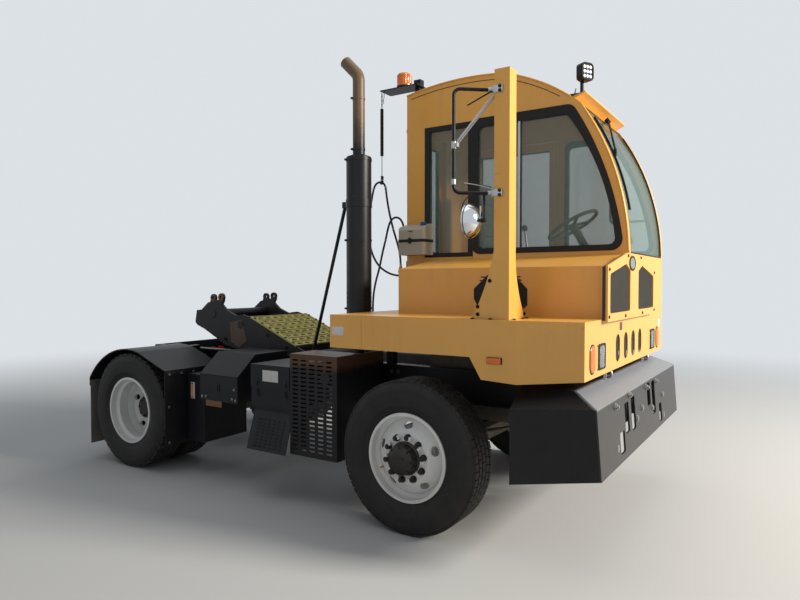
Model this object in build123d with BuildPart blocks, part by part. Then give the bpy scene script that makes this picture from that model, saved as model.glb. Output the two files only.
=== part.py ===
from build123d import *
from math import hypot, pi, radians, sqrt, tan
import os

# Terminal tractor: a two-axle yard truck with a one-man cab on the left of its engine hood,
# a lifting boom for the fifth wheel between the frame rails, and dual rear wheels.
# Millimetres, +X forward, +Y left, +Z up. The origin is on the ground, at mid length and mid width.

# Stance
WHEELBASE = 2950
FRONT_AXLE_X = 1140
REAR_AXLE_X = FRONT_AXLE_X - WHEELBASE
TYRE_R = 515
TYRE_W = 280
BEAD_R = 286
FLANGE_R = 298
FLANGE_HALF = 117
HUB_Z = TYRE_R
FRONT_WHEEL_Y = 1040
REAR_OUTER_Y = 1088
DUAL_SPACING = 343
REAR_INNER_Y = REAR_OUTER_Y - DUAL_SPACING

# Clearances
FIT = 0.3
RUN_GAP = 0.5
MOVE_GAP = 6

# Frame
RAIL_Y = 423
RAIL_WEB = 9
RAIL_FLANGE = 85
RAIL_BOTTOM = 780
RAIL_TOP = 1030
RAIL_REAR_X = REAR_AXLE_X - 575
RAIL_FRONT_X = FRONT_AXLE_X + 1095
RAIL_OUT_Y = RAIL_Y + RAIL_FLANGE
TAIL_PLATE = 10

# Body and deck
SHEET = 6
DECK_TOP = 1445
DECK_REAR_X = FRONT_AXLE_X - 660
PANEL_SEAM_X = FRONT_AXLE_X - 380
FACE_X = FRONT_AXLE_X + 1155
BODY_HALF = 1130
FACE_HALF = 1092
BEND_X = FRONT_AXLE_X + 760
SKIRT_Z = 1210
APRON_Z = 1075
APRON_BEND_Z = 1063
FACE_LOW_Z = 1105
APRON_X = FRONT_AXLE_X + 530
APRON_TOP_X = FRONT_AXLE_X + 450

# Bumper
BUMPER_HALF = 1180
BUMPER_REAR_X = FRONT_AXLE_X + 740
BUMPER_NOSE_X = FRONT_AXLE_X + 1280
BUMPER_RAKE = 30
BUMPER_TOP = 1045
BUMPER_PLATE = 12
BUMPER_BEVEL_X = 150
BUMPER_BEVEL_Y = 130
ENGINE_FRONT_X = FRONT_AXLE_X + 850
ENGINE_HALF = 330

# Cab
CAB_WALL = 40
CAB_RIGHT_Y = -50
CAB_LEFT_Y = BODY_HALF
CAB_REAR_X = FRONT_AXLE_X - 690
SILL_Z = 1900
GLASS = 6
ROOF_REAR_Z = 3275
ROOF_CROWN_Z = 3330
BROW_TOP = (FRONT_AXLE_X + 200, ROOF_CROWN_Z - 20)
BROW_MID = (FRONT_AXLE_X + 534, ROOF_CROWN_Z - 158)
BROW_END = (FRONT_AXLE_X + 805, ROOF_CROWN_Z - 345)
SCREEN_MID = (FRONT_AXLE_X + 1036, 2538)
WINDOW_LOW = 1917
WINDOW_HIGH = 2970
PANE_LOW = 1946
PANE_HIGH = 2915
SEAL_LIP = 15
SEAL_PROUD = 4

# Hood
HOOD_REAR_X = FRONT_AXLE_X - 360
HOOD_SIDE_Y = -690
HOOD_SIDE_Z = 1775
HOOD_CREST_Z = 1872
HOOD_SHEET = 5
SEAL_T = 22

# Boom, shown raised
BOOM_PIVOT_X = FRONT_AXLE_X - 1600
BOOM_PIVOT_Z = 985
BOOM_HALF = 390
BOOM_PLATE = 14
EAR_PLATE = 26
BOOM_PIN_R = 35
EAR_BORE_R = 16

# Lift cylinders
LIFT_BASE_X = BOOM_PIVOT_X - 420
LIFT_BASE_Z = 660
LIFT_EYE_X = BOOM_PIVOT_X - 780
LIFT_EYE_Z = BOOM_PIVOT_Z + 165
LIFT_Y = 220
LIFT_BARREL_R = 50
LIFT_BARREL_LEN = 300
LIFT_ROD_R = 28
LIFT_ROD_LEN = 335
LIFT_PIN_R = 24
LIFT_EYE_R = 40
LIFT_EYE_W = 60

# Steering
KINGPIN_Y = 880
KINGPIN_R = 22
KING_BOSS_R = 45
SPINDLE_R = 40
TIE_R = 18
TIE_PIN_R = 11

# Exhaust
STACK_X = FRONT_AXLE_X - 795
STACK_Y = -600
SHIELD_R = 100
SHIELD_Z = 1430
SHIELD_TOP = 2665
PIPE_R = 48
PIPE_WALL = 3

# Mirrors
MIRROR_REACH = BODY_HALF + 200
LOOP_REACH = BODY_HALF + 115


def ahead(distance):
    """X of a point that many millimetres ahead of the front axle."""
    return FRONT_AXLE_X + distance


def block(x, y, z, mode=Mode.ADD):
    """A box between three (low, high) pairs."""
    with Locations(((x[0] + x[1]) / 2, (y[0] + y[1]) / 2, (z[0] + z[1]) / 2)):
        Box(x[1] - x[0], y[1] - y[0], z[1] - z[0], mode=mode)


def side_slab(points, y_low, y_high, mode=Mode.ADD):
    """An (x, z) outline with a thickness across the vehicle."""
    with BuildSketch(Plane.XZ.offset(-y_high)) as outline:
        with BuildLine():
            Polyline(points, close=True)
        make_face()
    extrude(outline.sketch, amount=y_high - y_low, mode=mode)


def plan_slab(points, z_low, z_high, mode=Mode.ADD):
    """An (x, y) outline with a height."""
    with BuildSketch(Plane.XY.offset(z_low)) as outline:
        with BuildLine():
            Polyline(points, close=True)
        make_face()
    extrude(outline.sketch, amount=z_high - z_low, mode=mode)


def front_slab(points, x_low, x_high, mode=Mode.ADD):
    """A (y, z) outline with a length along the vehicle."""
    with BuildSketch(Plane.YZ.offset(x_low)) as outline:
        with BuildLine():
            Polyline(points, close=True)
        make_face()
    extrude(outline.sketch, amount=x_high - x_low, mode=mode)


def rod(start, end, radius, mode=Mode.ADD):
    """A round bar from one point to another."""
    direction = Vector(*end) - Vector(*start)
    with BuildSketch(Plane(origin=start, z_dir=direction)) as disc:
        Circle(radius)
    extrude(disc.sketch, amount=direction.length, mode=mode)


def bent_tube(points, radius, bend, mode=Mode.ADD):
    """A round tube along straight runs joined by arcs."""
    with BuildLine() as route:
        FilletPolyline(*points, radius=bend)
    with BuildSketch(Plane(origin=route.line @ 0, z_dir=route.line % 0)) as disc:
        Circle(radius)
    sweep(disc.sketch, path=route.line, mode=mode)


def wheel_plane(axle_x):
    """Plane of a wheel's section: its x is +Y of the vehicle, its y is the radius."""
    return Plane(origin=(axle_x, 0, HUB_Z), x_dir=(0, 1, 0), z_dir=(1, 0, 0))


def turned(points, axle_x):
    """A closed (y, radius) outline turned about an axle."""
    with BuildSketch(wheel_plane(axle_x)) as section:
        with BuildLine():
            Polyline(points, close=True)
        make_face()
    revolve(section.sketch, axis=Axis((axle_x, 0, HUB_Z), (0, 1, 0)))


def save(built, name):
    built.part.label = name
    export_step(built.part, "parts/" + name + ".step")


os.makedirs("parts", exist_ok=True)

# Chassis frame: two channel rails with their webs inside, crossmembers, the boom's pivot pin,
# the lift cylinders' base pin on its drop brackets, and the posts that carry the body
CROSS_X = (ahead(1090), ahead(-1010), ahead(-1330), REAR_AXLE_X - 330)
POST_X = (ahead(-560), ahead(680))
POST_SIZE = 60
LAMP_Y = (240, 350)
LAMP_Z = 900
LAMP_R = 45
with BuildPart() as chassis_frame:
    for side in (-1, 1):
        web = sorted((side * RAIL_Y, side * (RAIL_Y + RAIL_WEB)))
        flange = sorted((side * RAIL_Y, side * RAIL_OUT_Y))
        block((RAIL_REAR_X, RAIL_FRONT_X), web, (RAIL_BOTTOM, RAIL_TOP))
        block((RAIL_REAR_X, RAIL_FRONT_X), flange, (RAIL_BOTTOM, RAIL_BOTTOM + RAIL_WEB))
        block((RAIL_REAR_X, RAIL_FRONT_X), flange, (RAIL_TOP - RAIL_WEB, RAIL_TOP))
        drop = sorted((side * (RAIL_Y + 2), side * (RAIL_Y + 27)))
        block((LIFT_BASE_X - 60, LIFT_BASE_X + 60), drop, (LIFT_BASE_Z - 50, RAIL_BOTTOM))
        for x in POST_X:
            post = sorted((side * (RAIL_OUT_Y - POST_SIZE), side * RAIL_OUT_Y))
            block((x - POST_SIZE / 2, x + POST_SIZE / 2), post, (RAIL_TOP, DECK_TOP - SHEET))
    for x in CROSS_X:
        block((x - 40, x + 40), (-RAIL_Y, RAIL_Y), (RAIL_BOTTOM, RAIL_BOTTOM + 120))
    block((RAIL_REAR_X - TAIL_PLATE, RAIL_REAR_X), (-RAIL_OUT_Y, RAIL_OUT_Y), (RAIL_BOTTOM - 40, RAIL_TOP))
    for y in LAMP_Y + tuple(-y for y in LAMP_Y):
        rod((RAIL_REAR_X - TAIL_PLATE - 1, y, LAMP_Z), (RAIL_REAR_X + 1, y, LAMP_Z), LAMP_R, mode=Mode.SUBTRACT)
    rod((BOOM_PIVOT_X, -RAIL_Y, BOOM_PIVOT_Z), (BOOM_PIVOT_X, RAIL_Y, BOOM_PIVOT_Z), BOOM_PIN_R)
    rod((LIFT_BASE_X, -RAIL_Y - 2, LIFT_BASE_Z), (LIFT_BASE_X, RAIL_Y + 2, LIFT_BASE_Z), LIFT_PIN_R)
save(chassis_frame, "chassis_frame")

# Front bumper: a folded steel box, open behind and below, raked up a little at the nose
BUMPER_SIDE = [
    (BUMPER_REAR_X, 475),
    (BUMPER_NOSE_X, 580),
    (BUMPER_NOSE_X - BUMPER_RAKE, 975),
    (BUMPER_NOSE_X - BUMPER_RAKE - BUMPER_BEVEL_X, BUMPER_TOP),
    (BUMPER_REAR_X, BUMPER_TOP),
]
BUMPER_WINDOWS = [
    (-675, 115, 627, 759), (-532, 105, 725, 915), (-362, 105, 712, 934),
    (125, 105, 790, 952), (284, 105, 706, 947), (500, 95, 611, 750),
]
with BuildPart() as front_bumper:
    side_slab(BUMPER_SIDE, -BUMPER_HALF, BUMPER_HALF)
    for side in (-1, 1):
        rear_low = Vector(BUMPER_REAR_X, side * BUMPER_HALF, 925)
        nose_low = Vector(BUMPER_NOSE_X - BUMPER_RAKE, side * BUMPER_HALF, 975)
        hip_top = Vector(BUMPER_NOSE_X - BUMPER_RAKE - BUMPER_BEVEL_X, side * (BUMPER_HALF - BUMPER_BEVEL_Y),
                         BUMPER_TOP)
        normal = (nose_low - rear_low).cross(hip_top - rear_low)
        normal = normal if normal.Z > 0 else normal * -1
        split(bisect_by=Plane(origin=rear_low, z_dir=normal), keep=Keep.BOTTOM)
    open_faces = front_bumper.faces().sort_by(Axis.X)[:1] + front_bumper.faces().sort_by(Axis.Z)[:1]
    offset(amount=-BUMPER_PLATE, openings=open_faces, kind=Kind.INTERSECTION)
    block((BUMPER_REAR_X - 1, ENGINE_FRONT_X + 10), (-ENGINE_HALF - 15, ENGINE_HALF + 15),
          (BUMPER_TOP - BUMPER_PLATE - 1, BUMPER_TOP + 1), mode=Mode.SUBTRACT)
    for y, width, low, high in BUMPER_WINDOWS:
        with BuildSketch(Plane.YZ.offset(BUMPER_NOSE_X - 60)):
            with Locations((y, (low + high) / 2)):
                RectangleRounded(width, high - low, 18)
        extrude(amount=120, mode=Mode.SUBTRACT)
    for side in (-1, 1):
        arm = sorted((side * RAIL_Y, side * RAIL_OUT_Y))
        block((RAIL_FRONT_X, BUMPER_NOSE_X - BUMPER_RAKE - 4), arm, (RAIL_BOTTOM, RAIL_TOP - 80))
save(front_bumper, "front_bumper")

# Front axle: a dropped beam with kingpin bosses, and the leaf springs that sit on it
SPRING_Y = RAIL_Y + 40
SPRING_W = 75
SPRING_HALF = 560
SPRING_BASE = 530
LEAF_T = 12
LEAF_COUNT = 4
BEAM_W = 90
with BuildPart() as front_axle:
    front_slab(
        [(-KINGPIN_Y, 470), (-700, 470), (-600, 400), (600, 400), (700, 470), (KINGPIN_Y, 470),
         (KINGPIN_Y, 560), (680, 560), (580, 500), (-580, 500), (-680, 560), (-KINGPIN_Y, 560)],
        FRONT_AXLE_X - BEAM_W / 2, FRONT_AXLE_X + BEAM_W / 2,
    )
    for side in (-1, 1):
        with BuildSketch(Plane.XY.offset(455)):
            with Locations((FRONT_AXLE_X, side * KINGPIN_Y)):
                Circle(KING_BOSS_R)
        extrude(amount=120)
        with BuildSketch(Plane.XY.offset(455)):
            with Locations((FRONT_AXLE_X, side * KINGPIN_Y)):
                Circle(KINGPIN_R + FIT)
        extrude(amount=120, mode=Mode.SUBTRACT)
        block((FRONT_AXLE_X - 60, FRONT_AXLE_X + 60),
              (side * SPRING_Y - SPRING_W / 2, side * SPRING_Y + SPRING_W / 2), (490, 530))
    for side in (-1, 1):
        y_low = side * SPRING_Y - SPRING_W / 2
        level = SPRING_BASE + LEAF_T * LEAF_COUNT
        with BuildSketch(Plane.XZ.offset(-(y_low + SPRING_W))):
            with BuildLine():
                low = ThreePointArc((FRONT_AXLE_X - SPRING_HALF, RAIL_BOTTOM - 90), (FRONT_AXLE_X, level - 12),
                                    (FRONT_AXLE_X + SPRING_HALF, RAIL_BOTTOM - 90))
                high = ThreePointArc((FRONT_AXLE_X - SPRING_HALF, RAIL_BOTTOM - 78), (FRONT_AXLE_X, level),
                                     (FRONT_AXLE_X + SPRING_HALF, RAIL_BOTTOM - 78))
                Line(low @ 0, high @ 0)
                Line(low @ 1, high @ 1)
            make_face()
        extrude(amount=SPRING_W)
        for end in (-1, 1):
            x_eye = FRONT_AXLE_X + end * (SPRING_HALF + 10)
            block((x_eye - 35, x_eye + 35), (y_low, y_low + SPRING_W), (RAIL_BOTTOM - 130, RAIL_BOTTOM))
        for leaf in range(1, LEAF_COUNT):
            reach = SPRING_HALF * (0.42 - 0.1 * leaf)
            top = level - LEAF_T * leaf
            block((FRONT_AXLE_X - reach, FRONT_AXLE_X + reach), (y_low, y_low + SPRING_W), (top - LEAF_T, top))
save(front_axle, "front_axle")

# Steering knuckles: a fork round each boss with the kingpin, a spindle and a steering arm
for side, name in ((1, "knuckle_left"), (-1, "knuckle_right")):
    with BuildPart() as knuckle:
        plate_in = KINGPIN_Y + KING_BOSS_R + MOVE_GAP
        plate_out = plate_in + 26
        for z_low in (455 - MOVE_GAP - 30, 575 + MOVE_GAP):
            block((FRONT_AXLE_X - 40, FRONT_AXLE_X + 40),
                  sorted((side * (KINGPIN_Y - 40), side * plate_out)), (z_low, z_low + 30))
        block((FRONT_AXLE_X - 70, FRONT_AXLE_X + 70), sorted((side * plate_in, side * plate_out)),
              (419, 611))
        rod((FRONT_AXLE_X, side * KINGPIN_Y, 419), (FRONT_AXLE_X, side * KINGPIN_Y, 611), KINGPIN_R)
        rod((FRONT_AXLE_X, side * plate_in, HUB_Z), (FRONT_AXLE_X, side * (FRONT_WHEEL_Y + 60), HUB_Z),
            SPINDLE_R)
        block((FRONT_AXLE_X - 230, FRONT_AXLE_X - 30),
              sorted((side * (KINGPIN_Y - 20), side * (KINGPIN_Y + 20))), (419, 449))
        arm_pin = (FRONT_AXLE_X - 200, side * KINGPIN_Y)
        rod((arm_pin[0], arm_pin[1], 415), (arm_pin[0], arm_pin[1], 455), TIE_PIN_R + FIT, mode=Mode.SUBTRACT)
    save(knuckle, name)

TIE_Z = 419 - FIT - TIE_R
with BuildPart() as tie_rod:
    rod((FRONT_AXLE_X - 200, -KINGPIN_Y - 20, TIE_Z), (FRONT_AXLE_X - 200, KINGPIN_Y + 20, TIE_Z), TIE_R)
    for side in (-1, 1):
        rod((FRONT_AXLE_X - 200, side * KINGPIN_Y, TIE_Z), (FRONT_AXLE_X - 200, side * KINGPIN_Y, 450), TIE_PIN_R)
save(tie_rod, "tie_rod")

# Rear axle: a tube with the drive head, and saddles under the rails
with BuildPart() as rear_axle:
    turned([(-900, 0), (-900, 60), (-660, 60), (-600, 70), (-260, 70), (-120, 190), (120, 190),
            (260, 70), (600, 70), (660, 60), (900, 60), (900, 0)], REAR_AXLE_X)
    rod((REAR_AXLE_X + 100, 0, HUB_Z), (REAR_AXLE_X + 330, 0, HUB_Z + 20), 75)
    for side in (-1, 1):
        block((REAR_AXLE_X - 90, REAR_AXLE_X + 90), sorted((side * (RAIL_Y + 2), side * RAIL_OUT_Y)),
              (HUB_Z, RAIL_BOTTOM))
save(rear_axle, "rear_axle")

# Engine and gearbox: one plain block, carried on feet against the rail webs
with BuildPart() as engine_block:
    block((ahead(-300), ENGINE_FRONT_X), (-ENGINE_HALF, ENGINE_HALF), (640, 1400))
    block((ahead(-900), ahead(-300)), (-190, 190), (RAIL_BOTTOM - 120, RAIL_TOP + 50))
    for x in (ahead(-150), ahead(600)):
        block((x, x + 100), (-RAIL_Y, RAIL_Y), (900, 970))
save(engine_block, "engine_block")

# Body: deck, front face and skirts in one folded sheet, open below and behind
def skirt_profile(inset):
    return [
        (DECK_REAR_X, DECK_TOP - inset),
        (FACE_X - inset, DECK_TOP - inset),
        (FACE_X - inset, FACE_LOW_Z),
        (BEND_X, APRON_BEND_Z),
        (APRON_X, APRON_Z),
        (APRON_TOP_X, SKIRT_Z),
        (DECK_REAR_X, SKIRT_Z),
    ]


def body_plan(inset):
    return [
        (DECK_REAR_X, BODY_HALF - inset),
        (FACE_X - inset, BODY_HALF - inset),
        (FACE_X - inset, -FACE_HALF + inset),
        (BEND_X, -BODY_HALF + inset),
        (DECK_REAR_X, -BODY_HALF + inset),
    ]


HEADLAMP_Y = 743
HEADLAMP_Z = 1220
HEADLAMP_W = 150
HEADLAMP_H = 160
TURN_Y = 942
TURN_H = 165
TURN_W = 96
SLOT_PITCH = 217
SLOT_Y = [SLOT_PITCH * (i - 1.5) - 20 for i in range(4)]
SLOT_Z = 1238
SLOT_H = 185
SLOT_W = 112
with BuildPart() as body_deck:
    side_slab(skirt_profile(0), -BODY_HALF, BODY_HALF)
    plan_slab(body_plan(0), APRON_BEND_Z, DECK_TOP, mode=Mode.INTERSECT)
    with BuildPart(mode=Mode.PRIVATE) as body_core:
        plan_slab(body_plan(SHEET), APRON_BEND_Z, DECK_TOP - SHEET)
    add(body_core.part, mode=Mode.SUBTRACT)
    with BuildSketch(Plane.YZ.offset(FACE_X - SHEET)):
        with Locations(*[(y, SLOT_Z) for y in SLOT_Y]):
            SlotOverall(SLOT_H, SLOT_W, rotation=90)
        with Locations((-HEADLAMP_Y, HEADLAMP_Z), (HEADLAMP_Y, HEADLAMP_Z)):
            RectangleRounded(HEADLAMP_W, HEADLAMP_H, 20)
        with Locations((-TURN_Y, HEADLAMP_Z), (TURN_Y, HEADLAMP_Z)):
            SlotOverall(TURN_H, TURN_W, rotation=90)
    extrude(amount=SHEET, mode=Mode.SUBTRACT)
    for side in (-1, 1):
        block((PANEL_SEAM_X - 4, PANEL_SEAM_X),
              sorted((side * (BODY_HALF - 2), side * (BODY_HALF + 1))), (SKIRT_Z, DECK_TOP), mode=Mode.SUBTRACT)
save(body_deck, "body_deck")

# Lamps set in the front face
with BuildPart() as headlamps:
    with BuildSketch(Plane.YZ.offset(FACE_X - 50)):
        with Locations((-HEADLAMP_Y, HEADLAMP_Z), (HEADLAMP_Y, HEADLAMP_Z)):
            RectangleRounded(HEADLAMP_W - 2 * FIT, HEADLAMP_H - 2 * FIT, 20)
    extrude(amount=58)
save(headlamps, "headlamps")

ROOF_LAMP_X = ahead(-750)
PLATE_Z = 3350
PLATE_T = 8
BEACON_H = 130
BEACON_R = 66
with BuildPart() as amber_lamps:
    with BuildSketch(Plane.YZ.offset(FACE_X - 30)):
        with Locations((-TURN_Y, HEADLAMP_Z), (TURN_Y, HEADLAMP_Z)):
            SlotOverall(TURN_H - 2 * FIT, TURN_W - 2 * FIT, rotation=90)
    extrude(amount=38)
    for side in (-1, 1):
        block((ahead(570), ahead(670)), sorted((side * BODY_HALF, side * (BODY_HALF + 22))), (1175, 1218))
    with BuildSketch(Plane.XY.offset(PLATE_Z + PLATE_T)):
        with Locations((ROOF_LAMP_X, 0)):
            Circle(BEACON_R)
    extrude(amount=BEACON_H)
save(amber_lamps, "amber_lamps")

# Hood: a folded sheet cover beside the cab, with a sloped top
with BuildPart() as hood:
    outline = [(HOOD_SIDE_Y, DECK_TOP), (HOOD_SIDE_Y, HOOD_SIDE_Z), (CAB_RIGHT_Y, HOOD_CREST_Z),
               (CAB_RIGHT_Y, DECK_TOP)]
    front_slab(outline, HOOD_REAR_X, FACE_X)
    inner = [(HOOD_SIDE_Y + HOOD_SHEET, DECK_TOP), (HOOD_SIDE_Y + HOOD_SHEET, HOOD_SIDE_Z - HOOD_SHEET),
             (CAB_RIGHT_Y - HOOD_SHEET, HOOD_CREST_Z - HOOD_SHEET), (CAB_RIGHT_Y - HOOD_SHEET, DECK_TOP)]
    front_slab(inner, HOOD_REAR_X + HOOD_SHEET, FACE_X, mode=Mode.SUBTRACT)
save(hood, "hood")

# Grille panel: a bolted house-shaped panel across the hood's and the cab's front
GRILLE_Y = -45
GRILLE_HALF = 700
GRILLE_LOW = 1430
GRILLE_SIDE = HOOD_SIDE_Z
GRILLE_PEAK = HOOD_CREST_Z
GRILLE_FLAT = 210
GRILLE_T = 14
MESH_IN = 122
MESH_PEAK = 240
MESH_OUT = 645
MESH_MARGIN = 50
MESH_T = 4
SEAL_W = 26


def grille_outline(grow):
    return [
        (GRILLE_Y - GRILLE_HALF - grow, GRILLE_LOW - grow),
        (GRILLE_Y + GRILLE_HALF + grow, GRILLE_LOW - grow),
        (GRILLE_Y + GRILLE_HALF + grow, GRILLE_SIDE + grow),
        (GRILLE_Y + GRILLE_FLAT, GRILLE_PEAK + grow),
        (GRILLE_Y - GRILLE_FLAT, GRILLE_PEAK + grow),
        (GRILLE_Y - GRILLE_HALF - grow, GRILLE_SIDE + grow),
    ]


def mesh_window(side, grow):
    return [
        (GRILLE_Y + side * (MESH_IN - grow), GRILLE_LOW + MESH_MARGIN - grow),
        (GRILLE_Y + side * (MESH_OUT + grow), GRILLE_LOW + MESH_MARGIN - grow),
        (GRILLE_Y + side * (MESH_OUT + grow), GRILLE_SIDE - MESH_MARGIN + grow),
        (GRILLE_Y + side * MESH_PEAK, GRILLE_PEAK - 1.5 * MESH_MARGIN + grow),
        (GRILLE_Y + side * (MESH_IN - grow), GRILLE_PEAK - 2.3 * MESH_MARGIN + grow),
    ]


with BuildPart() as grille_panel:
    front_slab(grille_outline(0), FACE_X + SEAL_T, FACE_X + SEAL_T + GRILLE_T)
    for side in (-1, 1):
        with BuildSketch(Plane.YZ.offset(FACE_X + SEAL_T)) as opening:
            with BuildLine():
                Polyline(mesh_window(side, 0), close=True)
            make_face()
            fillet(opening.vertices(), 22)
        extrude(opening.sketch, amount=GRILLE_T, mode=Mode.SUBTRACT)
save(grille_panel, "grille_panel")

# Grille mesh: two perforated plates behind the panel's windows, inside the panel's rubber seal
with BuildPart() as grille_mesh:
    front_slab(grille_outline(-8), FACE_X, FACE_X + SEAL_T)
    front_slab(grille_outline(-8 - SEAL_W), FACE_X, FACE_X + SEAL_T, mode=Mode.SUBTRACT)
    for side in (-1, 1):
        front_slab(mesh_window(side, 8), FACE_X + SEAL_T - MESH_T, FACE_X + SEAL_T)
save(grille_mesh, "grille_mesh")

# Cab profile, seen from the side: rear wall, crowned roof, brow and curved windshield line
ROOF_ARC = ((CAB_REAR_X, ROOF_REAR_Z), (ahead(-250), ROOF_CROWN_Z), BROW_TOP)
BROW_ARC = (BROW_TOP, BROW_MID, BROW_END)
SCREEN_ARC = (BROW_END, SCREEN_MID, (FACE_X, SILL_Z))


def cab_outline():
    """The cab's closed side outline, inside a BuildSketch."""
    with BuildLine() as side_line:
        ThreePointArc(*ROOF_ARC)
        ThreePointArc(*BROW_ARC)
        ThreePointArc(*SCREEN_ARC)
        Polyline((FACE_X, SILL_Z), (FACE_X, DECK_TOP), (CAB_REAR_X, DECK_TOP), (CAB_REAR_X, ROOF_REAR_Z))
    make_face(side_line.edges())


RIGHT_REAR_WINDOW = (ahead(-497), ahead(-79), 1900, 2957)
RIGHT_REAR_PANE = (ahead(-465), ahead(-105), PANE_LOW - 26, PANE_HIGH + 18)
RIGHT_FRONT_REAR = ahead(-62)
RIGHT_PANE_REAR = ahead(-15)
DIVIDER_X = (ahead(318), ahead(342))
DOOR_X = (ahead(-620), ahead(250))
DOOR_Z = (1500, 2990)
LEFT_FRONT_REAR = ahead(312)
LEFT_PANE_REAR = ahead(345)
HINGE_X = DOOR_X[1] + 12
HINGE_Y = CAB_LEFT_Y + 20
HINGE_Z = (1750, 2700)
HINGE_R = 14
HINGE_PIN_R = 8
HINGE_LEN = 70


def window_front(grow):
    """The window's curved front edge, parallel to the windshield, top end first."""
    return ((ahead(737 + grow / 2), WINDOW_HIGH + grow), (ahead(944 + grow), 2560), (ahead(1104 + grow), WINDOW_LOW - grow))


PANE_FRONT = ((ahead(702), PANE_HIGH), (ahead(905), 2560), (ahead(1060), PANE_LOW))


def window_prism(rear, front, radius, y_low, y_high, inset=0, mode=Mode.SUBTRACT):
    """The front side window's outline with a thickness across the vehicle."""
    with BuildSketch(Plane.XZ.offset(-y_high)) as opening:
        with BuildLine() as edge:
            curve = ThreePointArc(*front)
            Polyline(curve @ 1, (rear, (curve @ 1).Y), (rear, (curve @ 0).Y), curve @ 0)
        make_face(edge.edges())
        fillet(opening.vertices(), radius)
        if inset:
            offset(amount=-inset, kind=Kind.INTERSECTION)
    extrude(opening.sketch, amount=y_high - y_low, mode=mode)


with BuildPart() as cab_right_wall:
    with BuildSketch(Plane.XZ.offset(-(CAB_RIGHT_Y + CAB_WALL))):
        cab_outline()
    extrude(amount=CAB_WALL)
    x0, x1, z0, z1 = RIGHT_REAR_WINDOW
    block((x0, x1), (CAB_RIGHT_Y, CAB_RIGHT_Y + CAB_WALL), (z0, z1), mode=Mode.SUBTRACT)
    window_prism(RIGHT_FRONT_REAR, window_front(0), 70, CAB_RIGHT_Y, CAB_RIGHT_Y + CAB_WALL)
save(cab_right_wall, "cab_right_wall")

with BuildPart() as cab_left_wall:
    with BuildSketch(Plane.XZ.offset(-CAB_LEFT_Y)):
        cab_outline()
    extrude(amount=CAB_WALL)
    block(DOOR_X, (CAB_LEFT_Y - CAB_WALL, CAB_LEFT_Y), DOOR_Z, mode=Mode.SUBTRACT)
    window_prism(LEFT_FRONT_REAR, window_front(0), 70, CAB_LEFT_Y - CAB_WALL, CAB_LEFT_Y)
    for z in HINGE_Z:
        for z_ear in (z - HINGE_LEN / 2 - 20, z + HINGE_LEN / 2 + RUN_GAP):
            block((DOOR_X[1] + 2, DOOR_X[1] + 40), (CAB_LEFT_Y, HINGE_Y + 8), (z_ear, z_ear + 20 - RUN_GAP))
        rod((HINGE_X, HINGE_Y, z - HINGE_LEN / 2 - 10), (HINGE_X, HINGE_Y, z + HINGE_LEN / 2 + 10), HINGE_PIN_R)
save(cab_left_wall, "cab_left_wall")

CAB_IN_Y = (CAB_RIGHT_Y + CAB_WALL, CAB_LEFT_Y - CAB_WALL)
REAR_DOOR_Y = (20, 590)
REAR_DOOR_Z = (1475, 3000)
REAR_DOOR_T = 34
REAR_OPENING_Y = (REAR_DOOR_Y[0] + 12, REAR_DOOR_Y[1] - 12)
RAIL_LIP = 6
REAR_TRAVEL = 530
with BuildPart() as cab_rear_wall:
    block((CAB_REAR_X, CAB_REAR_X + CAB_WALL), CAB_IN_Y, (DECK_TOP, ROOF_REAR_Z - CAB_WALL - 8))
    block((CAB_REAR_X, CAB_REAR_X + CAB_WALL), REAR_OPENING_Y, (DECK_TOP + CAB_WALL, REAR_DOOR_Z[1] - 12),
          mode=Mode.SUBTRACT)
    guide_x = CAB_REAR_X - MOVE_GAP - REAR_DOOR_T - 4 - RAIL_LIP
    guide_y = (REAR_DOOR_Y[0], REAR_DOOR_Y[1] + REAR_TRAVEL)
    block((guide_x, CAB_REAR_X), guide_y, (REAR_DOOR_Z[1] + RUN_GAP, REAR_DOOR_Z[1] + RUN_GAP + RAIL_LIP))
    block((guide_x, guide_x + RAIL_LIP), guide_y, (REAR_DOOR_Z[1] - 24, REAR_DOOR_Z[1] + RUN_GAP + RAIL_LIP))
    block((guide_x, CAB_REAR_X), guide_y, (REAR_DOOR_Z[0] - RUN_GAP - RAIL_LIP, REAR_DOOR_Z[0] - RUN_GAP))
    block((guide_x, guide_x + RAIL_LIP), guide_y, (REAR_DOOR_Z[0] - RUN_GAP - RAIL_LIP, REAR_DOOR_Z[0] + 24))
save(cab_rear_wall, "cab_rear_wall")

with BuildPart() as rear_door:
    door_x = (CAB_REAR_X - MOVE_GAP - REAR_DOOR_T, CAB_REAR_X - MOVE_GAP)
    block(door_x, REAR_DOOR_Y, REAR_DOOR_Z)
    block(door_x, (REAR_DOOR_Y[0] + 70, REAR_DOOR_Y[1] - 70), (1950, 2900), mode=Mode.SUBTRACT)
save(rear_door, "rear_door")

with BuildPart() as rear_door_glass:
    mid = (door_x[0] + door_x[1]) / 2
    block((mid - GLASS / 2, mid + GLASS / 2), (REAR_DOOR_Y[0] + 70 + FIT, REAR_DOOR_Y[1] - 70 - FIT),
          (1950 + FIT, 2900 - FIT))
save(rear_door_glass, "rear_door_glass")

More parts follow.
